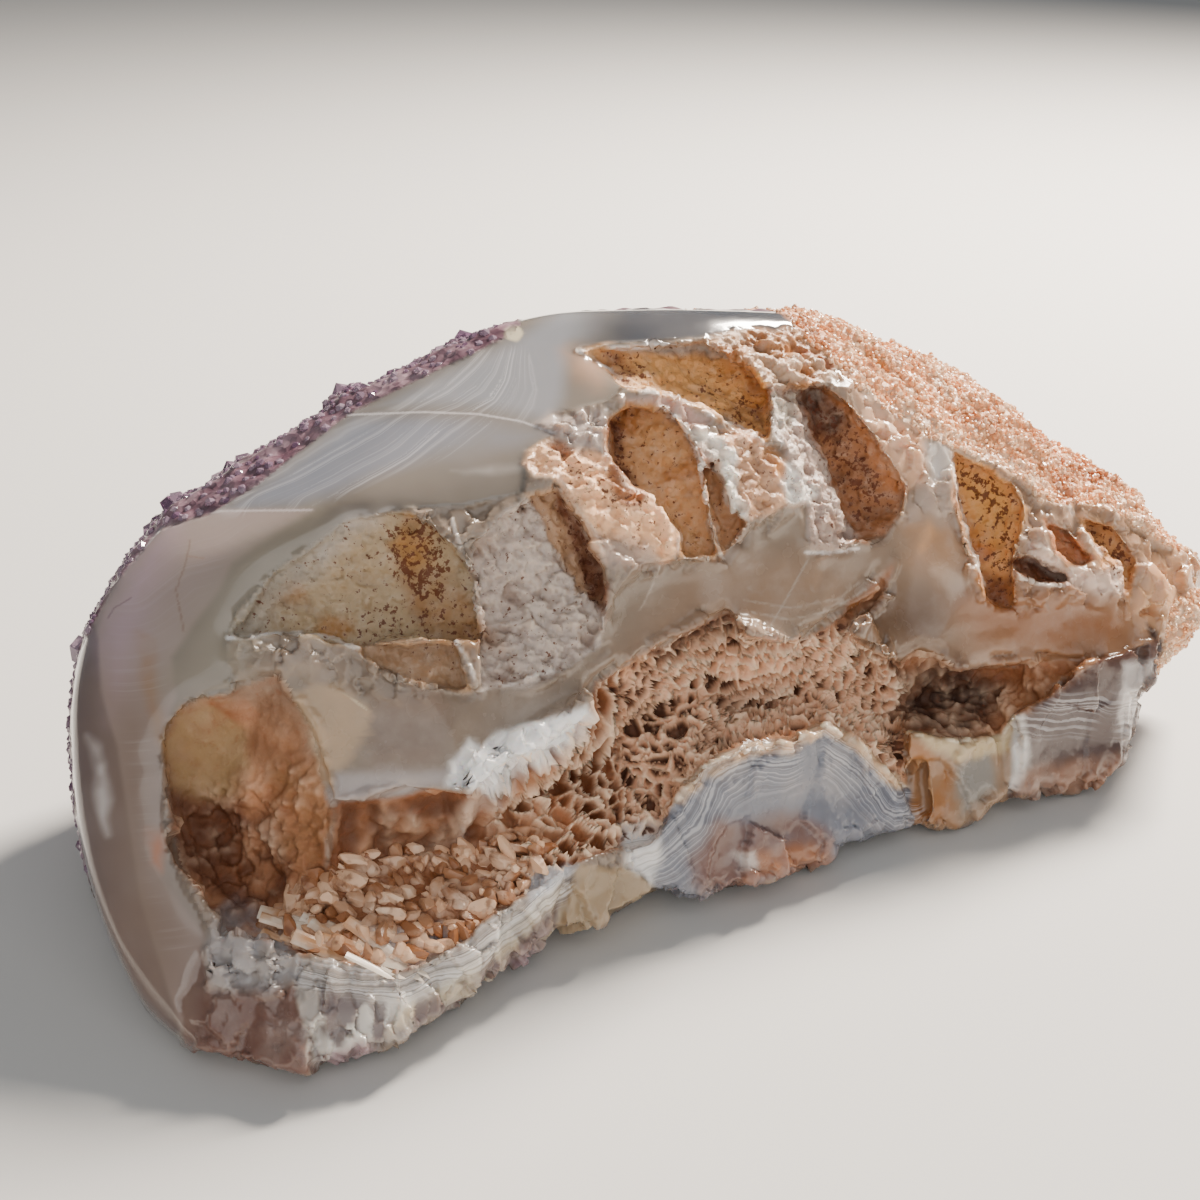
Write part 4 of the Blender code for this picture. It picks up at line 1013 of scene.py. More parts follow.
move += zone["glassy"] * (scoops**2 - 0.3) * 1.2 * (0.3 + 0.7 * zone["away"])
rough = np.maximum(zone["glassy"] * ease(zone["waist"], 14, -6), zone["glassy"] * (1 - zone["away"]))
move += rough * flakes * 1.2
points = points + normals * (move * (1 - zone["under"]) * mm)[:, None]
points[:, 2] = np.maximum(points[:, 2], 0)


def hexColour(text):
    # an sRGB hex colour as linear red, green, blue and alpha
    values = [int(text[k:k + 2], 16) / 255 for k in (1, 3, 5)]
    return tuple(v / 12.92 if v <= 0.04045 else ((v + 0.055) / 1.055) ** 2.4 for v in values) + (1,)


def tint(colour, text, amount):
    # lays a colour over the others
    share = np.clip(amount, 0, 1)[:, None]
    return colour * (1 - share) + np.array(hexColour(text)[:3]) * share


def layered(colour, layers):
    for text, amount in layers.items():
        colour = tint(colour, text, amount)
    return colour


# Where the casts are peppered with dark specks: how densely, how far it fades, and the outline.
speckSpots = {
    "largeUpper": (1.0, 12, [
        (388, 528), (400, 520), (436, 522), (448, 560), (442, 600), (420, 600), (395, 575),
    ]),
    "largeLower": (0.6, 16, [(365, 610), (440, 590), (500, 640), (480, 650), (370, 640)]),
    "leafLeft": (1.0, 7, [(608, 420), (622, 424), (630, 470), (642, 500), (620, 480)]),
    "greyEdge": (0.8, 8, [(560, 490), (600, 560), (606, 610), (590, 600), (566, 530)]),
    "rightTop": (1.0, 10, [(955, 458), (990, 475), (1014, 500), (1000, 520), (965, 490)]),
    "rightSide": (0.8, 8, [(998, 510), (1014, 520), (1014, 560), (1000, 600), (985, 560)]),
    "rightBlade": (0.8, 9, [(1085, 520), (1110, 525), (1132, 560), (1110, 565)]),
    "topLeft": (0.7, 9, [(606, 360), (640, 356), (650, 380), (628, 388)]),
    "topRight": (0.6, 12, [(690, 370), (765, 400), (768, 440), (720, 415)]),
    "blade": (0.9, 14, [(805, 392), (850, 430), (890, 500), (860, 525), (820, 440)]),
    "finger": (0.5, 10, [(540, 445), (600, 462), (655, 520), (640, 530), (560, 470)]),
}


def specksAt(zone):
    dense = np.zeros(len(zone["x"]))
    for name, look in castLooks.items():
        dense = np.maximum(dense, ease(zone[name], -4, 3) * look[3] * 0.5)
    for strength, fade, outline in speckSpots.values():
        gap = near(zone["warpX"], zone["warpY"], zone["seen"], outline, fade * 2)
        dense = np.maximum(dense, ease(gap, -fade, fade * 0.5) * strength)
    return dense


def paintAt(points, zone):
    # the stone's main colour at each point
    broad = lumps(points, 9, 21)
    middling = lumps(points, 3.4, 22)
    close = lumps(points, 1.2, 23)
    front, seen = zone["front"], zone["seen"]
    x, y = zone["warpX"], zone["warpY"]
    gloss = front * ease(zone["polished"], -2, 2)
    cap = ease(zone["x"], 560, 640)
    colour = layered(np.zeros((len(points), 3)), {
        "#857668": np.ones(len(points)),
        "#9c8c7e": ease(broad + middling * 0.5, 0, 0.8) * 0.7,
        "#a97d58": front * ease(x, 750, 1150) * 0.6,
        "#6f675d": gloss,
        "#787c86": gloss * ease(zone["shoulder"], -6, 20),
        "#85878c": gloss * ease(zone["brow"], -4, 20) * (1 - cap),
        "#34383f": gloss * ease(zone["brow"], -4, 4) * cap,
        "#94857f": gloss * ease(zone["cheek"], -6, 4),
        "#54484b": gloss * ease(zone["farStrip"], -3, 3) * 0.9,
    })
    for name, (main, stain, much, _, _) in castLooks.items():
        amount = front * ease(zone[name], -4, 3)
        colour = tint(colour, main, amount)
        colour = tint(colour, stain, amount * ease(middling + broad * 0.6, 0.7 - much, 1.0 - much))
    brown, rind = zone["brown"], zone["rindAmount"]
    streaks = lumps(points @ np.array([[0.7, 0, 0.5], [0, 1, 0], [-0.3, 0, 1.1]]), 2.6, 52)
    colour = layered(colour, {
        "#935c38": brown,
        "#c88d64": brown * ease(middling, -0.2, 0.6),
        "#8f5c3a": brown * ease(zone["crumbFloor"], -6, 6) * 0.8,
        "#f4c8a6": brown * ease(zone["sponge"], -10, 20) * 0.85,
        # painted shade in the brown hollows, darker where the surface lies 8 to 11 millimetres behind the uncut
        # skin
        "#4a2612": brown * ease(zone["behind"], 8, 11) * 0.5,
        "#efb587": rind,
        "#ad5d31": rind * ease(broad * 0.7 + streaks, 0.1, 0.8) * 0.8,
        "#f0d4b6": rind * ease(-streaks - broad * 0.5, 0.0, 0.7) * 0.7,
    })
    for name, main in lipLooks.items():
        colour = tint(colour, main, front * ease(zone[name], -3, 3) * (1 - brown))
    for shade, strength, fade, broken, outline in stains.values():
        gap = near(x, y, seen, outline, fade * 2)
        amount = ease(gap, -fade, fade) * strength
        whole = 1 - broken * ease(middling * 0.6 + close * 0.7, -0.3, 0.5)
        colour = tint(colour, shade, front * amount * whole)
    # painted shade in the gaps between the upright tooth-like chips at the left foot of the lip
    toothGapShade = ease(lumps(points * np.array([1, 1, 0.18]), 1.1, 51) + close * 0.3, 0.02, 0.3)
    belowLine = ease(reach(x, y, lipLine, False), 22, 40)
    colour = tint(colour, "#5d4a4c", front * ease(zone["lipLeft"], -3, 6) * toothGapShade * belowLine * 0.8)
    # pale crust and painted highlight along the raised edges, and the cracks' colour along the cracks, broken
    # up by noise
    for shade, half, height, path in crests.values():
        gap = near(zone["x"], zone["y"], seen, path, half * 3, False)
        patchyEdgeShare = ease(close + middling * 0.6, -0.35, 0.45) * 0.85 if abs(height) > 0.1 else 0.6
        colour = tint(colour, shade, front * ease(gap, half * 0.9, half * 0.2) * patchyEdgeShare)
    return layered(colour, {
        "#6d505b": zone["rim"],
        "#967c85": zone["rim"] * ease(middling, -0.3, 0.7) * 0.7,
        # a pale knot at the top of the brow
        "#cdc2a6": front * ease(np.hypot((x - 515) * 0.7, y - 332), 8, 5),
        "#7d6d60": zone["under"],
    })


pixel = 0.1  # about how many millimetres of the stone a picture unit covers
rimLine = [
    (120, 560), (163, 526), (209, 514), (305, 447), (351, 412), (400, 388), (450, 364), (508, 336),
    (560, 300),
]
# Each of these lines of the banding runs over the shoulder and up the brow.
bandLines = [
    [(235, 500), (290, 476), (345, 445), (400, 414), (445, 388), (470, 365), (490, 344)],
    [
        (262, 504), (300, 488), (340, 468), (385, 444), (421, 414), (455, 402), (476, 388), (490, 370),
        (500, 346),
    ],
    [(312, 506), (360, 480), (405, 455), (445, 420), (470, 408), (492, 398), (503, 380), (509, 348)],
    [(360, 500), (400, 480), (450, 450), (480, 425), (496, 410), (508, 396), (516, 378), (519, 348)],
    [(400, 490), (450, 470), (500, 440), (520, 420), (530, 405), (535, 390), (531, 372), (528, 348)],
]


def bandsAt(points, zone):
    # millimetres across the bands, and how clear they are
    x, y, front = zone["x"], zone["y"], zone["front"]
    band = reach(x, y, rimLine, False) * pixel
    # on the shoulder and the brow they follow these lines, which draw together at the top
    gaps = np.stack([reach(x, y, path, False) for path in bandLines])
    pairs = gaps[:-1] + gaps[1:]
    lower = pairs.argmin(axis=0)
    each = np.arange(len(x))
    share = gaps[lower, each] / np.maximum(pairs[lower, each], 1e-6)
    band = np.where((zone["shoulder"] > -6) | (zone["brow"] > -6), (lower + share) * 2.1, band)
    lip = zone["lip"] > 0.5
    fromLip = reach(x, y, lipLine, False)
    bent = lumps(points, 5, 45) * 0.9 + lumps(points, 1.6, 46) * 0.18
    band = np.where(lip, fromLip * pixel + bent, band)
    band = np.where(zone["lipRight"] > 0, (y - x * 0.03) * pixel + bent, band)
    nearest = gaps.min(axis=0)
    clear = zone["gloss"] * ease(zone["shoulder"], -4, 6) * ease(nearest, 30, 12) * ease(gaps[4], 6, 20) * 0.75
    clear *= 1 - ease(nearest, 2, 9) * 0.3
    onBrow = zone["gloss"] * ease(zone["brow"], -4, 6) * ease(nearest, 14, 5) * ease(y, 342, 356)
    clear = np.maximum(clear, onBrow * 0.8)
    clear = np.maximum(clear, zone["gloss"] * ease(zone["cheek"], 0, 20) * 0.12)
    clear = np.maximum(clear, front * ease(zone["lipLeft"], -2, 6) * ease(fromLip, 40, 20) * 0.9)
    onBlue = front * ease(zone["lipBlue"], -2, 6) * ease(fromLip, 62, 30) * ease(np.abs(x - 812), 4, 18) * 0.55
    onRight = front * ease(zone["lipRight"], 0, 8) * ease(y, 690, 700) * ease(y, 745, 728)
    onRight = onRight * ease(lumps(points, 4, 47), -0.5, 0.4) * 0.6
    return band, np.maximum(np.maximum(clear, onBlue), onRight)


def pieceFrom(name, points, faces, material):
    # a smooth object from points and from faces that all have as many corners
    mesh = bpy.data.meshes.new(name)
    mesh.vertices.add(len(points))
    mesh.vertices.foreach_set("co", points.astype(np.float32).ravel())
    mesh.loops.add(faces.size)
    mesh.loops.foreach_set("vertex_index", faces.astype(np.int32).ravel())
    mesh.polygons.add(len(faces))
    mesh.polygons.foreach_set("loop_start", np.arange(0, faces.size, faces.shape[1], dtype=np.int32))
    mesh.materials.append(material)
    mesh.update(calc_edges=True)
    mesh.validate()
    mesh.shade_smooth()
    piece = bpy.data.objects.new(name, mesh)
    bpy.context.scene.collection.objects.link(piece)
    return piece


def write(piece, name, values):
    # a value or a colour for each point
    if values.ndim == 1:
        piece.data.attributes.new(name, "FLOAT", "POINT").data.foreach_set("value", values.astype(np.float32))
        return
    full = np.concatenate([values, np.ones((len(values), 1))], axis=1).astype(np.float32)
    piece.data.attributes.new(name, "FLOAT_COLOR", "POINT").data.foreach_set("color", full.ravel())


def thin(piece, most):
    count = sum(len(face.vertices) - 2 for face in piece.data.polygons)
    if count > most:
        fewer = piece.modifiers.new("fewer", "DECIMATE")
        fewer.ratio = most / count
        settle(piece)


def dress(piece):
    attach(piece, "root")
    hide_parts(node)


def fill(tree, made, settings):
    # lower-case names are properties of a node, the others its inputs; sockets are linked to them
    for name, value in settings.items():
        if isinstance(name, str) and name[0].islower():
            setattr(made, name, value)
        elif isinstance(value, bpy.types.NodeSocket):
            tree.links.new(value, made.inputs[name])
        else:
            made.inputs[name].default_value = hexColour(value) if isinstance(value, str) else value
    return made


def add(tree, kind, settings):
    return fill(tree, tree.nodes.new("ShaderNode" + kind), settings)


def newMaterial(name):
    material = bpy.data.materials.new(name)
    material.use_nodes = True
    tree = material.node_tree
    return material, tree, add(tree, "TexCoord", {}).outputs["Object"]


def finish(material, settings):
    fill(material.node_tree, material.node_tree.nodes["Principled BSDF"], settings)
    return material


def inside(weight, spread, depth):
    # how much light goes in, and how far red, green and blue spread: shares of a depth in millimetres
    return {"Subsurface Weight": weight, "Subsurface Radius": spread, "Subsurface Scale": depth * mm}


def noise(tree, place, size, detail=3, rough=0.55):
    # noise with lumps about size millimetres across
    settings = {"Vector": place, "Scale": 0.5 / (size * mm), "Detail": detail, "Roughness": rough}
    return add(tree, "TexNoise", settings).outputs[0]


def lines(tree, along, scale, detail, rough=0.5):
    # noise along one way only, scale lines to a millimetre
    settings = {"noise_dimensions": "1D", "W": along, "Scale": scale, "Detail": detail, "Roughness": rough}
    return add(tree, "TexNoise", settings).outputs[0]


def ramp(tree, value, low, high, to=(0, 1)):
    limits = {"From Min": low, "From Max": high, "To Min": to[0], "To Max": to[1]}
    return add(tree, "MapRange", {"interpolation_type": "SMOOTHSTEP", "Value": value, **limits}).outputs[0]


def mixed(tree, amount, a, b):
    return add(tree, "Mix", {"data_type": "RGBA", 0: amount, 6: a, 7: b}).outputs[2]


def patchy(tree, place, size, detail, limits, most, a, b):
    # colour b over a, where the noise is between the limits or above
    return mixed(tree, ramp(tree, noise(tree, place, size, *detail), *limits, (0, most)), a, b)


def worked(tree, how, a, b):
    return add(tree, "Math", {"operation": how, 0: a, 1: b}).outputs[0]


def bump(tree, height, depth, strength=1.0, under=None):
    settings = {"Height": height, "Distance": depth * mm, "Strength": strength}
    if under:
        settings["Normal"] = under
    return add(tree, "Bump", settings).outputs[0]


def glints(tree, place, size, much, under):
    # each grain of the surface leans its own way, so that some catch the light
    cells = cellsOf(tree, place, size)["Color"]
    lean = add(tree, "VectorMath", {"operation": "SUBTRACT", 0: cells, 1: (0.5, 0.5, 0.5)}).outputs[0]
    scaled = add(tree, "VectorMath", {"operation": "SCALE", 0: lean, "Scale": much}).outputs[0]
    total = add(tree, "VectorMath", {"operation": "ADD", 0: under, 1: scaled}).outputs[0]
    return add(tree, "VectorMath", {"operation": "NORMALIZE", 0: total}).outputs[0]


def written(tree, name, output="Fac"):
    return add(tree, "Attribute", {"attribute_name": name}).outputs[output]


def cellsOf(tree, place, size):
    return add(tree, "TexVoronoi", {"Vector": place, "Scale": 1 / (size * mm)}).outputs


def polishedChalcedony():
    # polished translucent chalcedony: soft depth, fine white bands and a clear gloss
    material, tree, place = newMaterial("polished banded chalcedony")
    warp = worked(tree, "MULTIPLY", noise(tree, place, 6), 1.2)
    along = worked(tree, "ADD", written(tree, "band"), warp)
    fine, wide = lines(tree, along, 1.3, 3, 0.7), lines(tree, along, 0.35, 1)
    stripes = worked(tree, "MULTIPLY", ramp(tree, fine, 0.46, 0.72), ramp(tree, wide, 0.3, 0.6))
    milk = worked(tree, "MULTIPLY", stripes, written(tree, "bandClear"))
    cloud = patchy(tree, place, 7, (), (0.35, 0.7), 0.12, written(tree, "paint", "Color"), "#b9b0ac")
    return finish(material, {
        "Base Color": mixed(tree, worked(tree, "MULTIPLY", milk, 0.5), cloud, "#e2e0e2"),
        "Roughness": ramp(tree, noise(tree, place, 3), 0.3, 0.7, (0.10, 0.2)),
        "Normal": bump(tree, noise(tree, place, 5), 0.05),
        "IOR": 1.54,
        "Coat Weight": 0.5,
        "Coat Roughness": 0.04,
        **inside(0.3, (1.0, 0.75, 0.6), 2.5),
    })


def brokenChalcedony():
    # freshly broken chalcedony: waxy, slightly dull, with hairline bands, white beside dark
    material, tree, place = newMaterial("waxy broken chalcedony")
    clear = written(tree, "bandClear")
    along = worked(tree, "ADD", written(tree, "band"), worked(tree, "MULTIPLY", noise(tree, place, 3), 1.2))
    fine = lines(tree, along, 2.4, 2, 0.7)
    milk = worked(tree, "MULTIPLY", ramp(tree, fine, 0.48, 0.62), clear)
    smoke = worked(tree, "MULTIPLY", ramp(tree, fine, 0.5, 0.36), clear)
    blotched = patchy(tree, place, 2.2, (5,), (0.45, 0.75), 0.18, written(tree, "paint", "Color"), "#c7bab0")
    lined = mixed(tree, worked(tree, "MULTIPLY", smoke, 0.6), blotched, "#4f4a4e")
    fineBump = bump(tree, noise(tree, place, 0.5, 6), 0.05, 0.6)
    return finish(material, {
        "Base Color": mixed(tree, worked(tree, "MULTIPLY", milk, 0.55), lined, "#e9e8ea"),
        "Roughness": ramp(tree, noise(tree, place, 1.5), 0.3, 0.7, (0.14, 0.32)),
        "Normal": bump(tree, noise(tree, place, 2.5, 4), 0.15, 0.6, fineBump),
        "IOR": 1.54,
        **inside(0.35, (1.0, 0.7, 0.5), 2.5),
    })


def stainedCast():
    # the print of a lost crystal in chalcedony: granular, tan and speckled with iron oxide
    material, tree, place = newMaterial("iron-stained chalcedony cast")
    dense = worked(tree, "MULTIPLY", written(tree, "specks"), 0.15)
    specks = ramp(tree, worked(tree, "ADD", noise(tree, place, 0.30, 4, 0.65), dense), 0.63, 0.69, (0, 0.9))
    crest = written(tree, "crest")
    # painted glints as small pale patches, then painted highlight on the crests of the relief and painted shade
    # in its pits
    pale = patchy(tree, place, 0.6, (4,), (0.45, 0.75), 0.2, written(tree, "paint", "Color"), "#dcd0c0")
    high = mixed(tree, ramp(tree, crest, 0.5, 0.68, (0, 0.35)), pale, "#f0ddc8")
    light = mixed(tree, ramp(tree, crest, 0.5, 0.38, (0, 0.55)), high, "#6b4a36")
    dull = worked(tree, "MULTIPLY", dense, 3)
    grain = bump(tree, noise(tree, place, 0.6, 5, 0.65), 0.22, 0.8)
    return finish(material, {
        "Base Color": mixed(tree, specks, light, "#5c2a0e"),
        "Roughness": worked(tree, "ADD", ramp(tree, noise(tree, place, 0.7), 0.3, 0.7, (0.28, 0.55)), dull),
        "Normal": glints(tree, place, 0.45, 0.55, grain),
        **inside(0.2, (1.0, 0.6, 0.35), 1.2),
    })


def boxworkQuartz():
    # spongy quartz boxwork over rusty pits: the crests are lightened as painted highlight and the pits darkened
    # as painted shade
    material, tree, place = newMaterial("rusty boxwork quartz")
    crest = written(tree, "crest")
    # painted highlight on the crests and painted shade in the pits of the relief
    light = mixed(tree, ramp(tree, crest, 0.45, 0.8, (0, 0.85)), written(tree, "paint", "Color"), "#ffdfc0")
    dark = mixed(tree, ramp(tree, crest, 0.42, 0.08, (0, 0.9)), light, "#55290f")
    return finish(material, {
        "Base Color": patchy(tree, place, 0.6, (5, 0.7), (0.52, 0.72), 0.4, dark, "#8f4d28"),
        "Roughness": ramp(tree, noise(tree, place, 0.7), 0.3, 0.7, (0.5, 0.85)),
        "Normal": bump(tree, noise(tree, place, 0.6, 6, 0.7), 0.3, 0.9),
        **inside(0.12, (1.0, 0.5, 0.3), 1),
    })


def rindDruse():
    # the outer skin: tiny quartz points coloured orange by iron
    material, tree, place = newMaterial("orange druse rind")
    edges = cellsOf(tree, place, 0.9)["Distance"]
    # painted shade in the crevices between the grains
    shade = mixed(tree, ramp(tree, edges, 0.3, 0.8, (0, 0.4)), written(tree, "paint", "Color"), "#a35a30")
    pale = patchy(tree, place, 1.3, (5,), (0.45, 0.7), 0.6, shade, "#e6cdb4")
    return finish(material, {
        "Base Color": patchy(tree, place, 0.8, (5,), (0.55, 0.72), 0.6, pale, "#8a4420"),
        "Roughness": ramp(tree, noise(tree, place, 0.7), 0.3, 0.7, (0.3, 0.65)),
        "Normal": glints(tree, place, 0.5, 0.7, bump(tree, edges, 0.25, 0.7)),
        **inside(0.25, (1.0, 0.6, 0.35), 1.5),
    })


def amethystCrust():
    # the crystal crust between the points: plum, sugary and glinting
    material, tree, place = newMaterial("amethyst crust")
    edges = cellsOf(tree, place, 1.4)["Distance"]
    # painted shade in the crevices between the crystals
    shade = mixed(tree, ramp(tree, edges, 0.25, 0.8, (0, 0.55)), written(tree, "paint", "Color"), "#4d3642")
    return finish(material, {
        "Base Color": patchy(tree, place, 2, (4,), (0.45, 0.7), 0.5, shade, "#a58f98"),
        "Roughness": 0.3,
        "Normal": glints(tree, place, 0.8, 0.5, bump(tree, edges, 0.3, 0.8)),
        **inside(0.2, (1.0, 0.6, 0.8), 1.5),
    })


print("making the pieces")
normals = normalsOf(points, quads)
zone = zonesAt(points, normals)
kinds = ("brown", "cast", "rindAmount", "gloss", "rim", "front")
atQuads = {name: zone[name][quads].mean(axis=1) for name in kinds}
isBrown = atQuads["brown"] > 0.5
isCast = (atQuads["cast"] > 0.5) & ~isBrown
isRind = (atQuads["rindAmount"] > 0.5) & ~isBrown & ~isCast
isRim = (atQuads["rim"] > 0.5) & ~isRind
isFront = (atQuads["front"] > 0.5) & ~(isBrown | isCast | isRind | isRim)
isPolished = isFront & (atQuads["gloss"] > 0.5)
isBroken = isFront & ~isPolished
isBack = ~(isBrown | isCast | isRind | isFront)


def roughPatch(name, chosen, material, movement, most, finer=True):
    # part of the surface as a piece of its own, with its own relief, still on the rim of the rest
    used = np.unique(quads[chosen])
    part, faces = patchOf(points, quads, chosen)
    old = len(part)
    rimNormals = normals[used]
    if finer:
        ends, _, _ = edgesOf(faces, old)
        rimNormals = np.concatenate([rimNormals, rimNormals[ends].mean(axis=1)])
        part, faces = refine(part, faces)
    free = fromRim(part, faces, 6 if finer else 3)
    outward = normalsOf(part, faces)
    zone = zonesAt(part, outward)
    height, smoothing = movement(part, zone)
    part = relax(part, faces, np.minimum(free * 4, 1) * smoothing, 3)
    outward = normalsOf(part, faces)
    part = part + outward * ((height * free + crestLift(zone) * np.minimum(free * 3, 1)) * mm)[:, None]
    part[:, 2] = np.maximum(part[:, 2], 0)
    outward = normalsOf(part, faces)
    onRim = np.flatnonzero(free == 0)
    onRim = onRim[onRim < len(rimNormals)]
    outward[onRim] = rimNormals[onRim]
    piece = pieceFrom(name, part, faces, material)
    write(piece, "paint", paintAt(part, zone))
    band, clear = bandsAt(part, zone)
    write(piece, "band", band)
    write(piece, "bandClear", clear)
    write(piece, "specks", specksAt(zone))
    # the height of the relief, which the materials turn into painted highlight on the crests and painted shade
    # in the pits
    share = 0.18 + 0.17 * ease(zone["sponge"], -8, 8)
    write(piece, "crest", np.clip(0.5 + height * share, 0, 1))
    piece.data.normals_split_custom_set_from_vertices(outward.tolist())
    thin(piece, most)
    dress(piece)
    print(name, sum(len(face.vertices) - 2 for face in piece.data.polygons), "triangles")
    return piece


def polishedRelief(points, zone):
    # the heights in millimetres, and how much the patch is smoothed first, as for every relief below
    return np.zeros(len(points)), 0.5


def brokenRelief(points, zone):
    # waxy fracture with faint ripples, and small chips along the lip
    chips = facets(points * np.array([1.3, 1, 0.8]), 2.0, 33)
    ripples = lumps(points * np.array([1, 1, 2.2]), 2.5, 31) * 0.05
    chipped = zone["lip"] * (0.12 + 0.88 * zone["lipEdge"])
    rough = np.maximum(chipped, zone["glassy"] * ease(zone["waist"], 10, -6))
    for name in ("whiteRib", "underLedgePlate", "flake", "shards"):
        rough = np.maximum(rough, zone["front"] * ease(zone[name], -4, 6))
    rough = rough * (0.55 + 0.45 * ease(lumps(points, 5, 34), -0.4, 0.4))
    sharper = 1 + zone["front"] * ease(zone["whiteRib"], -4, 6) + zone["front"] * ease(zone["shards"], -4, 6)
    return rough * chips * 0.8 * sharper + ripples, 0.1


def boxworkRelief(points, zone):
    # ragged thin walls round pits in the sponge, upright ribs beside it, lumps elsewhere
    bend = np.stack([lumps(points, 1.3, 57 + k) for k in range(3)], axis=1) * 0.55 * mm
    bent = points + bend
    first, second, label = grains(bent * np.array([1.0, 1.0, 1.2]), 1.75, 61)
    smaller, smallSecond, smallLabel = grains(bent, 0.8, 71)
    wall = ease(second - first, 0.3, 0.03) * (0.45 + label * 0.75)
    wallSmall = ease(smallSecond - smaller, 0.32, 0.03) * (0.2 + smallLabel * 0.5)
    sponge = np.maximum(wall, wallSmall) * 2.2 - 1.3 - label * 0.5 + lumps(points, 3.6, 65) * 0.6
    ribFirst, ribSecond, ribLabel = grains(bent * np.array([1.0, 1.0, 0.24]), 1.5, 67)
    ribs = ease(ribSecond - ribFirst, 0.34, 0.04) * (0.5 + ribLabel) * 1.9 - 1.0 + lumps(points, 0.7, 69) * 0.2
    crumbly, _, _ = grains(bent, 1.1, 74)
    lumpy = lumps(points, 2.8, 68) * 0.6 + lumps(points, 1.2, 70) * 0.35 + lumps(points, 0.55, 72) * 0.25
    lumpy += facets(points * np.array([1.0, 1.0, 0.6]), 1.6, 73) * 0.35 + (0.45 - crumbly) * 0.6
    drape, _, _ = grains(bent * np.array([1.0, 1.0, 0.25]), 2.2, 75)
    drapes = zone["front"] * ease(zone["x"], 332, 346) * ease(zone["x"], 500, 480) * ease(zone["y"], 858, 844)
    lumpy = lumpy * (1 - drapes * 0.6) + drapes * (0.5 - drape) * 1.6
    pitted = zone["front"] * ease(zone["sponge"], -8, 8)
    ribbed = zone["front"] * ease(zone["x"], 470, 515) * ease(zone["x"], 700, 650) * (1 - pitted)
    slope = zone["y"] + (zone["x"] - 240) * 0.3
    upper = zone["front"] * ease(zone["leftCavity"], -4, 10) * ease(slope, 800, 760)
    rest = (1 - pitted) * (1 - ribbed) * (1 - upper * 0.75)
    return sponge * pitted + ribs * ribbed + lumpy * rest, 0.25


def castRelief(points, zone):
    # sugary grain on every cast, coarse crumbs on the broken blocks between them
    grain, _, _ = grains(points, 0.8, 81)
    flaky, _, flakeLabel = grains(points * np.array([0.7, 1, 1.6]), 1.3, 86, True)
    rough = np.full(len(points), 0.4)
    for name, (_, _, _, _, much) in castLooks.items():
        rough = np.where(zone["front"] * ease(zone[name], -4, 3) > 0.5, much, rough)
    height = (0.5 - grain) * 0.3 + (0.4 - flaky) * 0.25 + (flakeLabel - 0.5) * 0.2
    height += facets(points, 1.5, 87) * 0.4
    # ropy ridges that run down to the right
    slanted = np.stack([points @ (0.82, 0, -0.57) * 0.3, points[:, 1], points @ (0.57, 0, 0.82)], axis=1)
    height += lumps(slanted, 0.7, 84) * 0.3 * ease(rough, 0.7, 1.2)
    return (height + lumps(points, 0.6, 82) * 0.15 + lumps(points, 1.8, 83) * 0.35) * rough, 0.15


def rindRelief(points, zone):
    first, _, label = grains(points, 1.15, 91)
    coarse, _, _ = grains(points, 2.9, 93)
    return (0.55 - first) * 0.55 + (label - 0.5) * 0.25 + (0.5 - coarse) * 0.8 + lumps(points, 6, 92) * 0.8, 0.3


def backRelief(points, zone):
    return np.zeros(len(points)), 0.2


most = stone["mostTriangles"]
boxwork = roughPatch("boxworkRecess", isBrown, boxworkQuartz(), boxworkRelief, most)
roughPatch("crystalCasts", isCast, stainedCast(), castRelief, most)
rind = roughPatch("orangeRind", isRind, rindDruse(), rindRelief, stone["mostUnderGrains"])
roughPatch("polishedFace", isPolished, polishedChalcedony(), polishedRelief, most)
broken = roughPatch("brokenFace", isBroken, brokenChalcedony(), brokenRelief, most)
back = roughPatch("amethystCrust", isBack, amethystCrust(), backRelief, stone["mostUnderPoints"], False)

# Crystals and crumbs that stand on the surface, each kind joined into one piece.
random = np.random.default_rng(7)


def pointedForm(sides, lean):
    # a pointed prism of unit width, its foot below zero; returns its points and triangles
    turn = np.arange(sides) * 2 * math.pi / sides
    ring = np.stack([np.cos(turn), np.sin(turn)], axis=1) * 0.5
    low = np.column_stack([ring, np.full(sides, -0.5)])
    shoulder = np.column_stack([ring * 0.95, 0.55 + ring[:, 0] * lean])
    corners = np.concatenate([low, shoulder, [[lean * 0.1, 0.05, 1.0]]])
    faces = []
    for k in range(sides):
        after = (k + 1) % sides
        faces += [(k, after, sides + after), (k, sides + after, sides + k)]
        faces.append((sides + k, sides + after, 2 * sides))
    faces += [(0, k + 1, k) for k in range(1, sides - 1)]
    return corners, np.array(faces)


def pebbleForm():
    # a worn crumb: an uneven ball, pressed on three sides
    bm = bmesh.new()
    bmesh.ops.create_icosphere(bm, subdivisions=2, radius=0.5)
    corners = np.array([tuple(vert.co) for vert in bm.verts])
    faces = np.array([[vert.index for vert in face.verts] for face in bm.faces])
    bm.free()
    for _ in range(9):
        side = random.normal(0, 1, 3)
        side /= np.linalg.norm(side)
        over = np.maximum(corners @ side - random.uniform(0.24, 0.36), 0)
        corners = corners - over[:, None] * side * 0.9
    return corners + random.normal(0, 0.012, corners.shape), faces


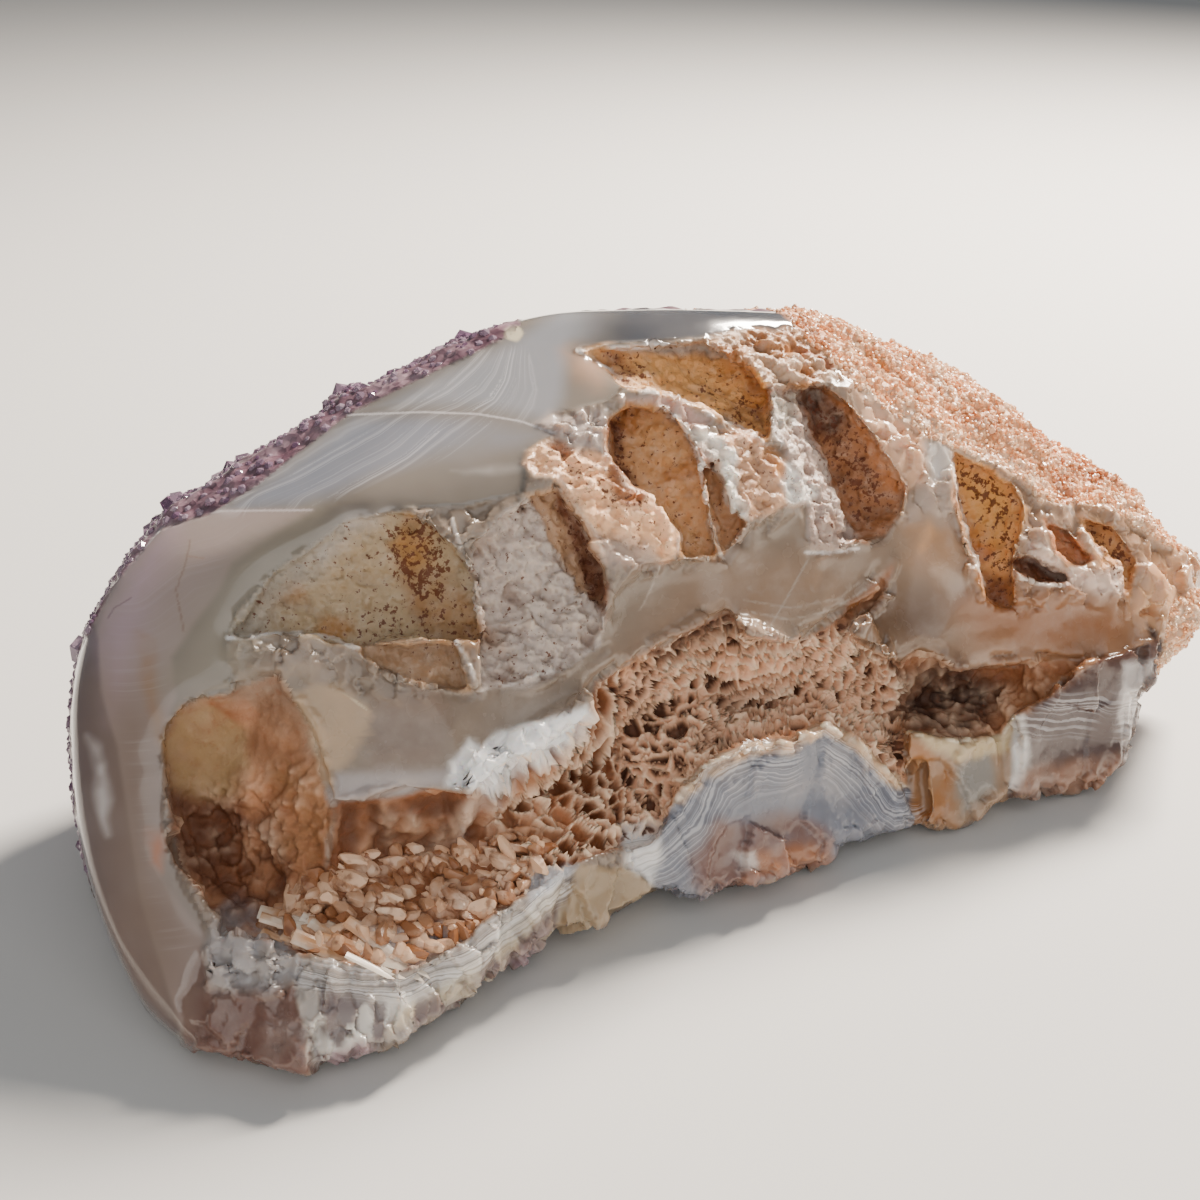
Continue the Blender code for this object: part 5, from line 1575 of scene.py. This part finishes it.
def gather(name, forms, places, material, roll=2 * math.pi):
    # one piece from many placed forms; a place is (origin, direction, width, length)
    corners, faces, tones, count = [], [], [], 0
    for origin, direction, width, length in places:
        form, triangles = forms[int(random.integers(len(forms)))]
        turn = Vector(direction).to_track_quat("Z", "Y").to_matrix()
        turn = np.array(turn @ Matrix.Rotation(random.uniform(0, roll), 3, "Z"))
        corners.append((form * np.array([width, width, length]) * mm) @ turn.T + np.array(origin))
        faces.append(triangles + count)
        tones.append(np.full(len(form), random.uniform()))
        count += len(form)
    corners = np.concatenate(corners)
    corners[:, 2] = np.maximum(corners[:, 2], 0)
    piece = pieceFrom(name, corners, np.concatenate(faces), material)
    write(piece, "tone", np.concatenate(tones))
    origins = np.array([tuple(origin) for origin, _, _, _ in places])
    outward = np.array([tuple(Vector(direction).normalized()) for _, direction, _, _ in places])
    shades = paintAt(origins, zonesAt(origins, outward))
    write(piece, "paint", np.repeat(shades, [len(tone) for tone in tones], axis=0))
    piece.data.set_sharp_from_angle(angle=math.radians(24))
    dress(piece)
    print(name, len(piece.data.polygons), "triangles")
    return piece


def spread(piece, accept, sizes):
    # random points of a piece's surface, at most one in each cube as wide as the spacing
    mesh = piece.data
    centres = np.empty(len(mesh.polygons) * 3, np.float32)
    mesh.polygons.foreach_get("center", centres)
    outward = np.empty(len(mesh.polygons) * 3, np.float32)
    mesh.polygons.foreach_get("normal", outward)
    centres, outward = centres.reshape(-1, 3).astype(float), outward.reshape(-1, 3).astype(float)
    zone = zonesAt(centres, outward)
    allowed = np.flatnonzero(accept(centres, outward, zone))
    order = random.permutation(allowed)
    cells = set()
    found = []
    for k in order:
        cell = tuple((centres[k] / (sizes["spacing"] * mm)).astype(int))
        if cell not in cells:
            cells.add(cell)
            found.append((centres[k], outward[k]))
        if len(found) == sizes["count"]:
            break
    return found


def leaning(direction, much):
    return Vector(direction) + Vector(random.normal(0, much, 3))


flatWay = (1.0, 0.28, 1.0)
bladeForms = [(form * flatWay, faces) for form, faces in (pointedForm(6, lean) for lean in (0.5, -0.5))]
pointForms = [pointedForm(6, lean) for lean in (0, 0.25, -0.35)]
crumbs = [pebbleForm() for _ in range(12)]


def amethystPoint():
    # see-through purple quartz points
    material, tree, _ = newMaterial("clear amethyst points")
    volume = add(tree, "VolumeAbsorption", {"Color": "#85597f", "Density": 130.0})
    tree.links.new(volume.outputs[0], tree.nodes["Material Output"].inputs["Volume"])
    return finish(material, {
        "Base Color": mixed(tree, written(tree, "tone"), "#8f6c8c", "#cbb4c6"),
        "Roughness": 0.1,
        "IOR": 1.544,
        "Transmission Weight": 0.6,
    })


def stainedGrains():
    # sugar-fine quartz grains with an orange film, which glint
    material, tree, _ = newMaterial("orange quartz grains")
    film = mixed(tree, ramp(tree, written(tree, "tone"), 0.2, 0.9), "#d9925a", "#fbe0be")
    rust = mixed(tree, 0.5, film, written(tree, "paint", "Color"))
    return finish(material, {"Base Color": rust, "Roughness": 0.28})


def rustyCrumbs():
    # small broken crystals with a rusty skin
    material, tree, place = newMaterial("rusty quartz crumbs")
    film = mixed(tree, ramp(tree, written(tree, "tone"), 0.1, 0.9), "#9a6540", "#efc6a2")
    pale = patchy(tree, place, 1.6, (5,), (0.45, 0.7), 0.5, film, "#f4dcc4")
    return finish(material, {
        "Base Color": patchy(tree, place, 0.7, (5,), (0.52, 0.7), 0.7, pale, "#6e3c20"),
        "Roughness": 0.3,
        "Normal": bump(tree, noise(tree, place, 0.5, 5), 0.12, 0.6),
    })


def goldenBlade():
    # long blades of quartz with a golden film
    material, tree, place = newMaterial("golden quartz blades")
    tone = ramp(tree, noise(tree, place, 2.2, 4), 0.35, 0.65)
    colour = mixed(tree, tone, "#c08d62", "#f0e2cf")
    return finish(material, {"Base Color": colour, "Roughness": 0.25, **inside(0.15, (1.0, 0.8, 0.6), 1.5)})


def onRim(centres, outward, zone):
    high = centres[:, 2] / mm
    far = (zone["behind"] > 12) | (zone["carvedOut"] < -8)
    onBack = (zone["front"] < 0.2) | (zone["amethystRim"] > 2)
    # none shows above the polished cap
    onSkyline = (zone["x"] > 500) & (zone["y"] < 350) & (outward @ np.array(forward) < 0.62)
    return (high > 5) & (outward[:, 2] > -0.35) & (centres[:, 0] < 42 * mm) & far & ~onSkyline & onBack


# Spacing and width in millimetres. A length is a share of the width, and lean is how much the directions
# differ. The blades lie along a line of the picture.
pointSizes = {"count": 2600, "spacing": 1.3, "width": (0.6, 1.2), "length": (0.45, 0.65), "lean": 0.3}
grainSizes = {"count": 8500, "spacing": 0.5, "width": (0.25, 0.6), "length": (0.5, 0.9), "lean": 0.45}
crumbSizes = {"count": 440, "spacing": 1.2, "width": (0.7, 1.9), "length": (1.1, 2.3), "lean": 0.55}
bladeSizes = {"count": 40, "longest": 8.0, "width": (0.7, 1.4), "lean": 0.1, "line": ((292, 938), (378, 964))}


def drawn(sizes, name):
    return random.uniform(*sizes[name])


places = []
for origin, outward in spread(back, onRim, pointSizes):
    # small and low on the rim that is seen from the front, larger down the back
    large = ease(np.array([outward[1]]), 0.25, 0.7)[0]
    width = drawn(pointSizes, "width") + large * random.uniform(0, 1.6) ** 2
    sunk = origin - outward * 0.25 * width * mm
    direction = leaning(outward, pointSizes["lean"])
    places.append((sunk, direction, width, width * (drawn(pointSizes, "length") + large * 0.25)))
gather("amethystPoints", pointForms, places, amethystPoint())

places = []
for origin, outward in spread(rind, lambda centres, outward, zone: centres[:, 2] > 4 * mm, grainSizes):
    width = drawn(grainSizes, "width")
    direction = leaning(outward, grainSizes["lean"])
    places.append((origin, direction, width, width * drawn(grainSizes, "length")))
gather("rindGrains", pointForms, places, stainedGrains())

places = []
for origin, outward in spread(boxwork, lambda centres, outward, zone: zone["crumbFloor"] > 0, crumbSizes):
    width = drawn(crumbSizes, "width")
    direction = leaning(rightward * 0.8 - upward * 0.5 + Vector(outward) * 0.3, crumbSizes["lean"])
    places.append((origin, direction, width, width * drawn(crumbSizes, "length")))
gather("recessCrumbs", crumbs, places, rustyCrumbs())

# The blades lie on the floor of the recess, fanned to the right.
places = []
trees = (treeOf(boxwork), treeOf(broken))
(fromX, fromY), (toX, toY) = bladeSizes["line"]
for k in range(bladeSizes["count"]):
    share = k / (bladeSizes["count"] - 1)
    x = fromX + (toX - fromX) * share + random.uniform(-12, 12)
    y = fromY + (toY - fromY) * share + random.uniform(-22, 4)
    found = [tree.ray_cast(eye, sightLine(x, y)) for tree in trees]
    found = [(distance, origin) for origin, _, _, distance in found if origin]
    if found:
        origin = min(found, key=lambda hit: hit[0])[1]
        direction = leaning(rightward * 0.9 - upward * 0.33, bladeSizes["lean"])
        width = drawn(bladeSizes, "width")
        places.append((origin, direction, width, bladeSizes["longest"] * random.uniform(0.3, 0.75)))
gather("goldenBlades", bladeForms, places, goldenBlade(), 0.6)

print("setting the stage")


def panel(name, place, target, size, energy, colour):
    # a soft square light that faces the target
    light = bpy.data.lights.new(name, "AREA")
    light.shape = "SQUARE"
    light.size = size
    light.energy = energy
    light.color = hexColour(colour)[:3]
    lamp = bpy.data.objects.new(name, light)
    lamp.location = place
    lamp.rotation_euler = (Vector(target) - Vector(place)).to_track_quat("-Z", "Y").to_euler()
    bpy.context.scene.collection.objects.link(lamp)


panel("keyLight", (0.26, 0.32, 0.40), (0.01, 0, 0.02), 0.16, 15.5, "#fff1e2")
panel("fillLight", (0.05, -0.50, 0.34), (0, 0, 0.02), 0.8, 2.7, "#f6f3f0")
world = bpy.data.worlds.new("paleSurround")
world.use_nodes = True
fill(world.node_tree, world.node_tree.nodes["Background"], {"Color": "#dde0e4", "Strength": 0.30})
bpy.context.scene.world = world
floorMesh = bpy.data.meshes.new("floor")
floorMesh.from_pydata([(-3, -3, 0), (3, -3, 0), (3, 3, 0), (-3, 3, 0)], [], [(0, 1, 2, 3)])
floor = bpy.data.objects.new("floor", floorMesh)
floor.location.z = -0.05 * mm
bpy.context.scene.collection.objects.link(floor)
paper = newMaterial("pale studio paper")[0]
floorMesh.materials.append(finish(paper, {"Base Color": "#cfcfcd", "Roughness": 0.9}))

camera = bpy.data.objects.new("camera", bpy.data.cameras.new("camera"))
camera.data.angle = math.radians(station["angle"])
camera.data.clip_start = 0.01
camera.location = eye
camera.rotation_euler = (math.radians(90) - pitch, 0, 0)
bpy.context.scene.collection.objects.link(camera)
bpy.context.scene.camera = camera
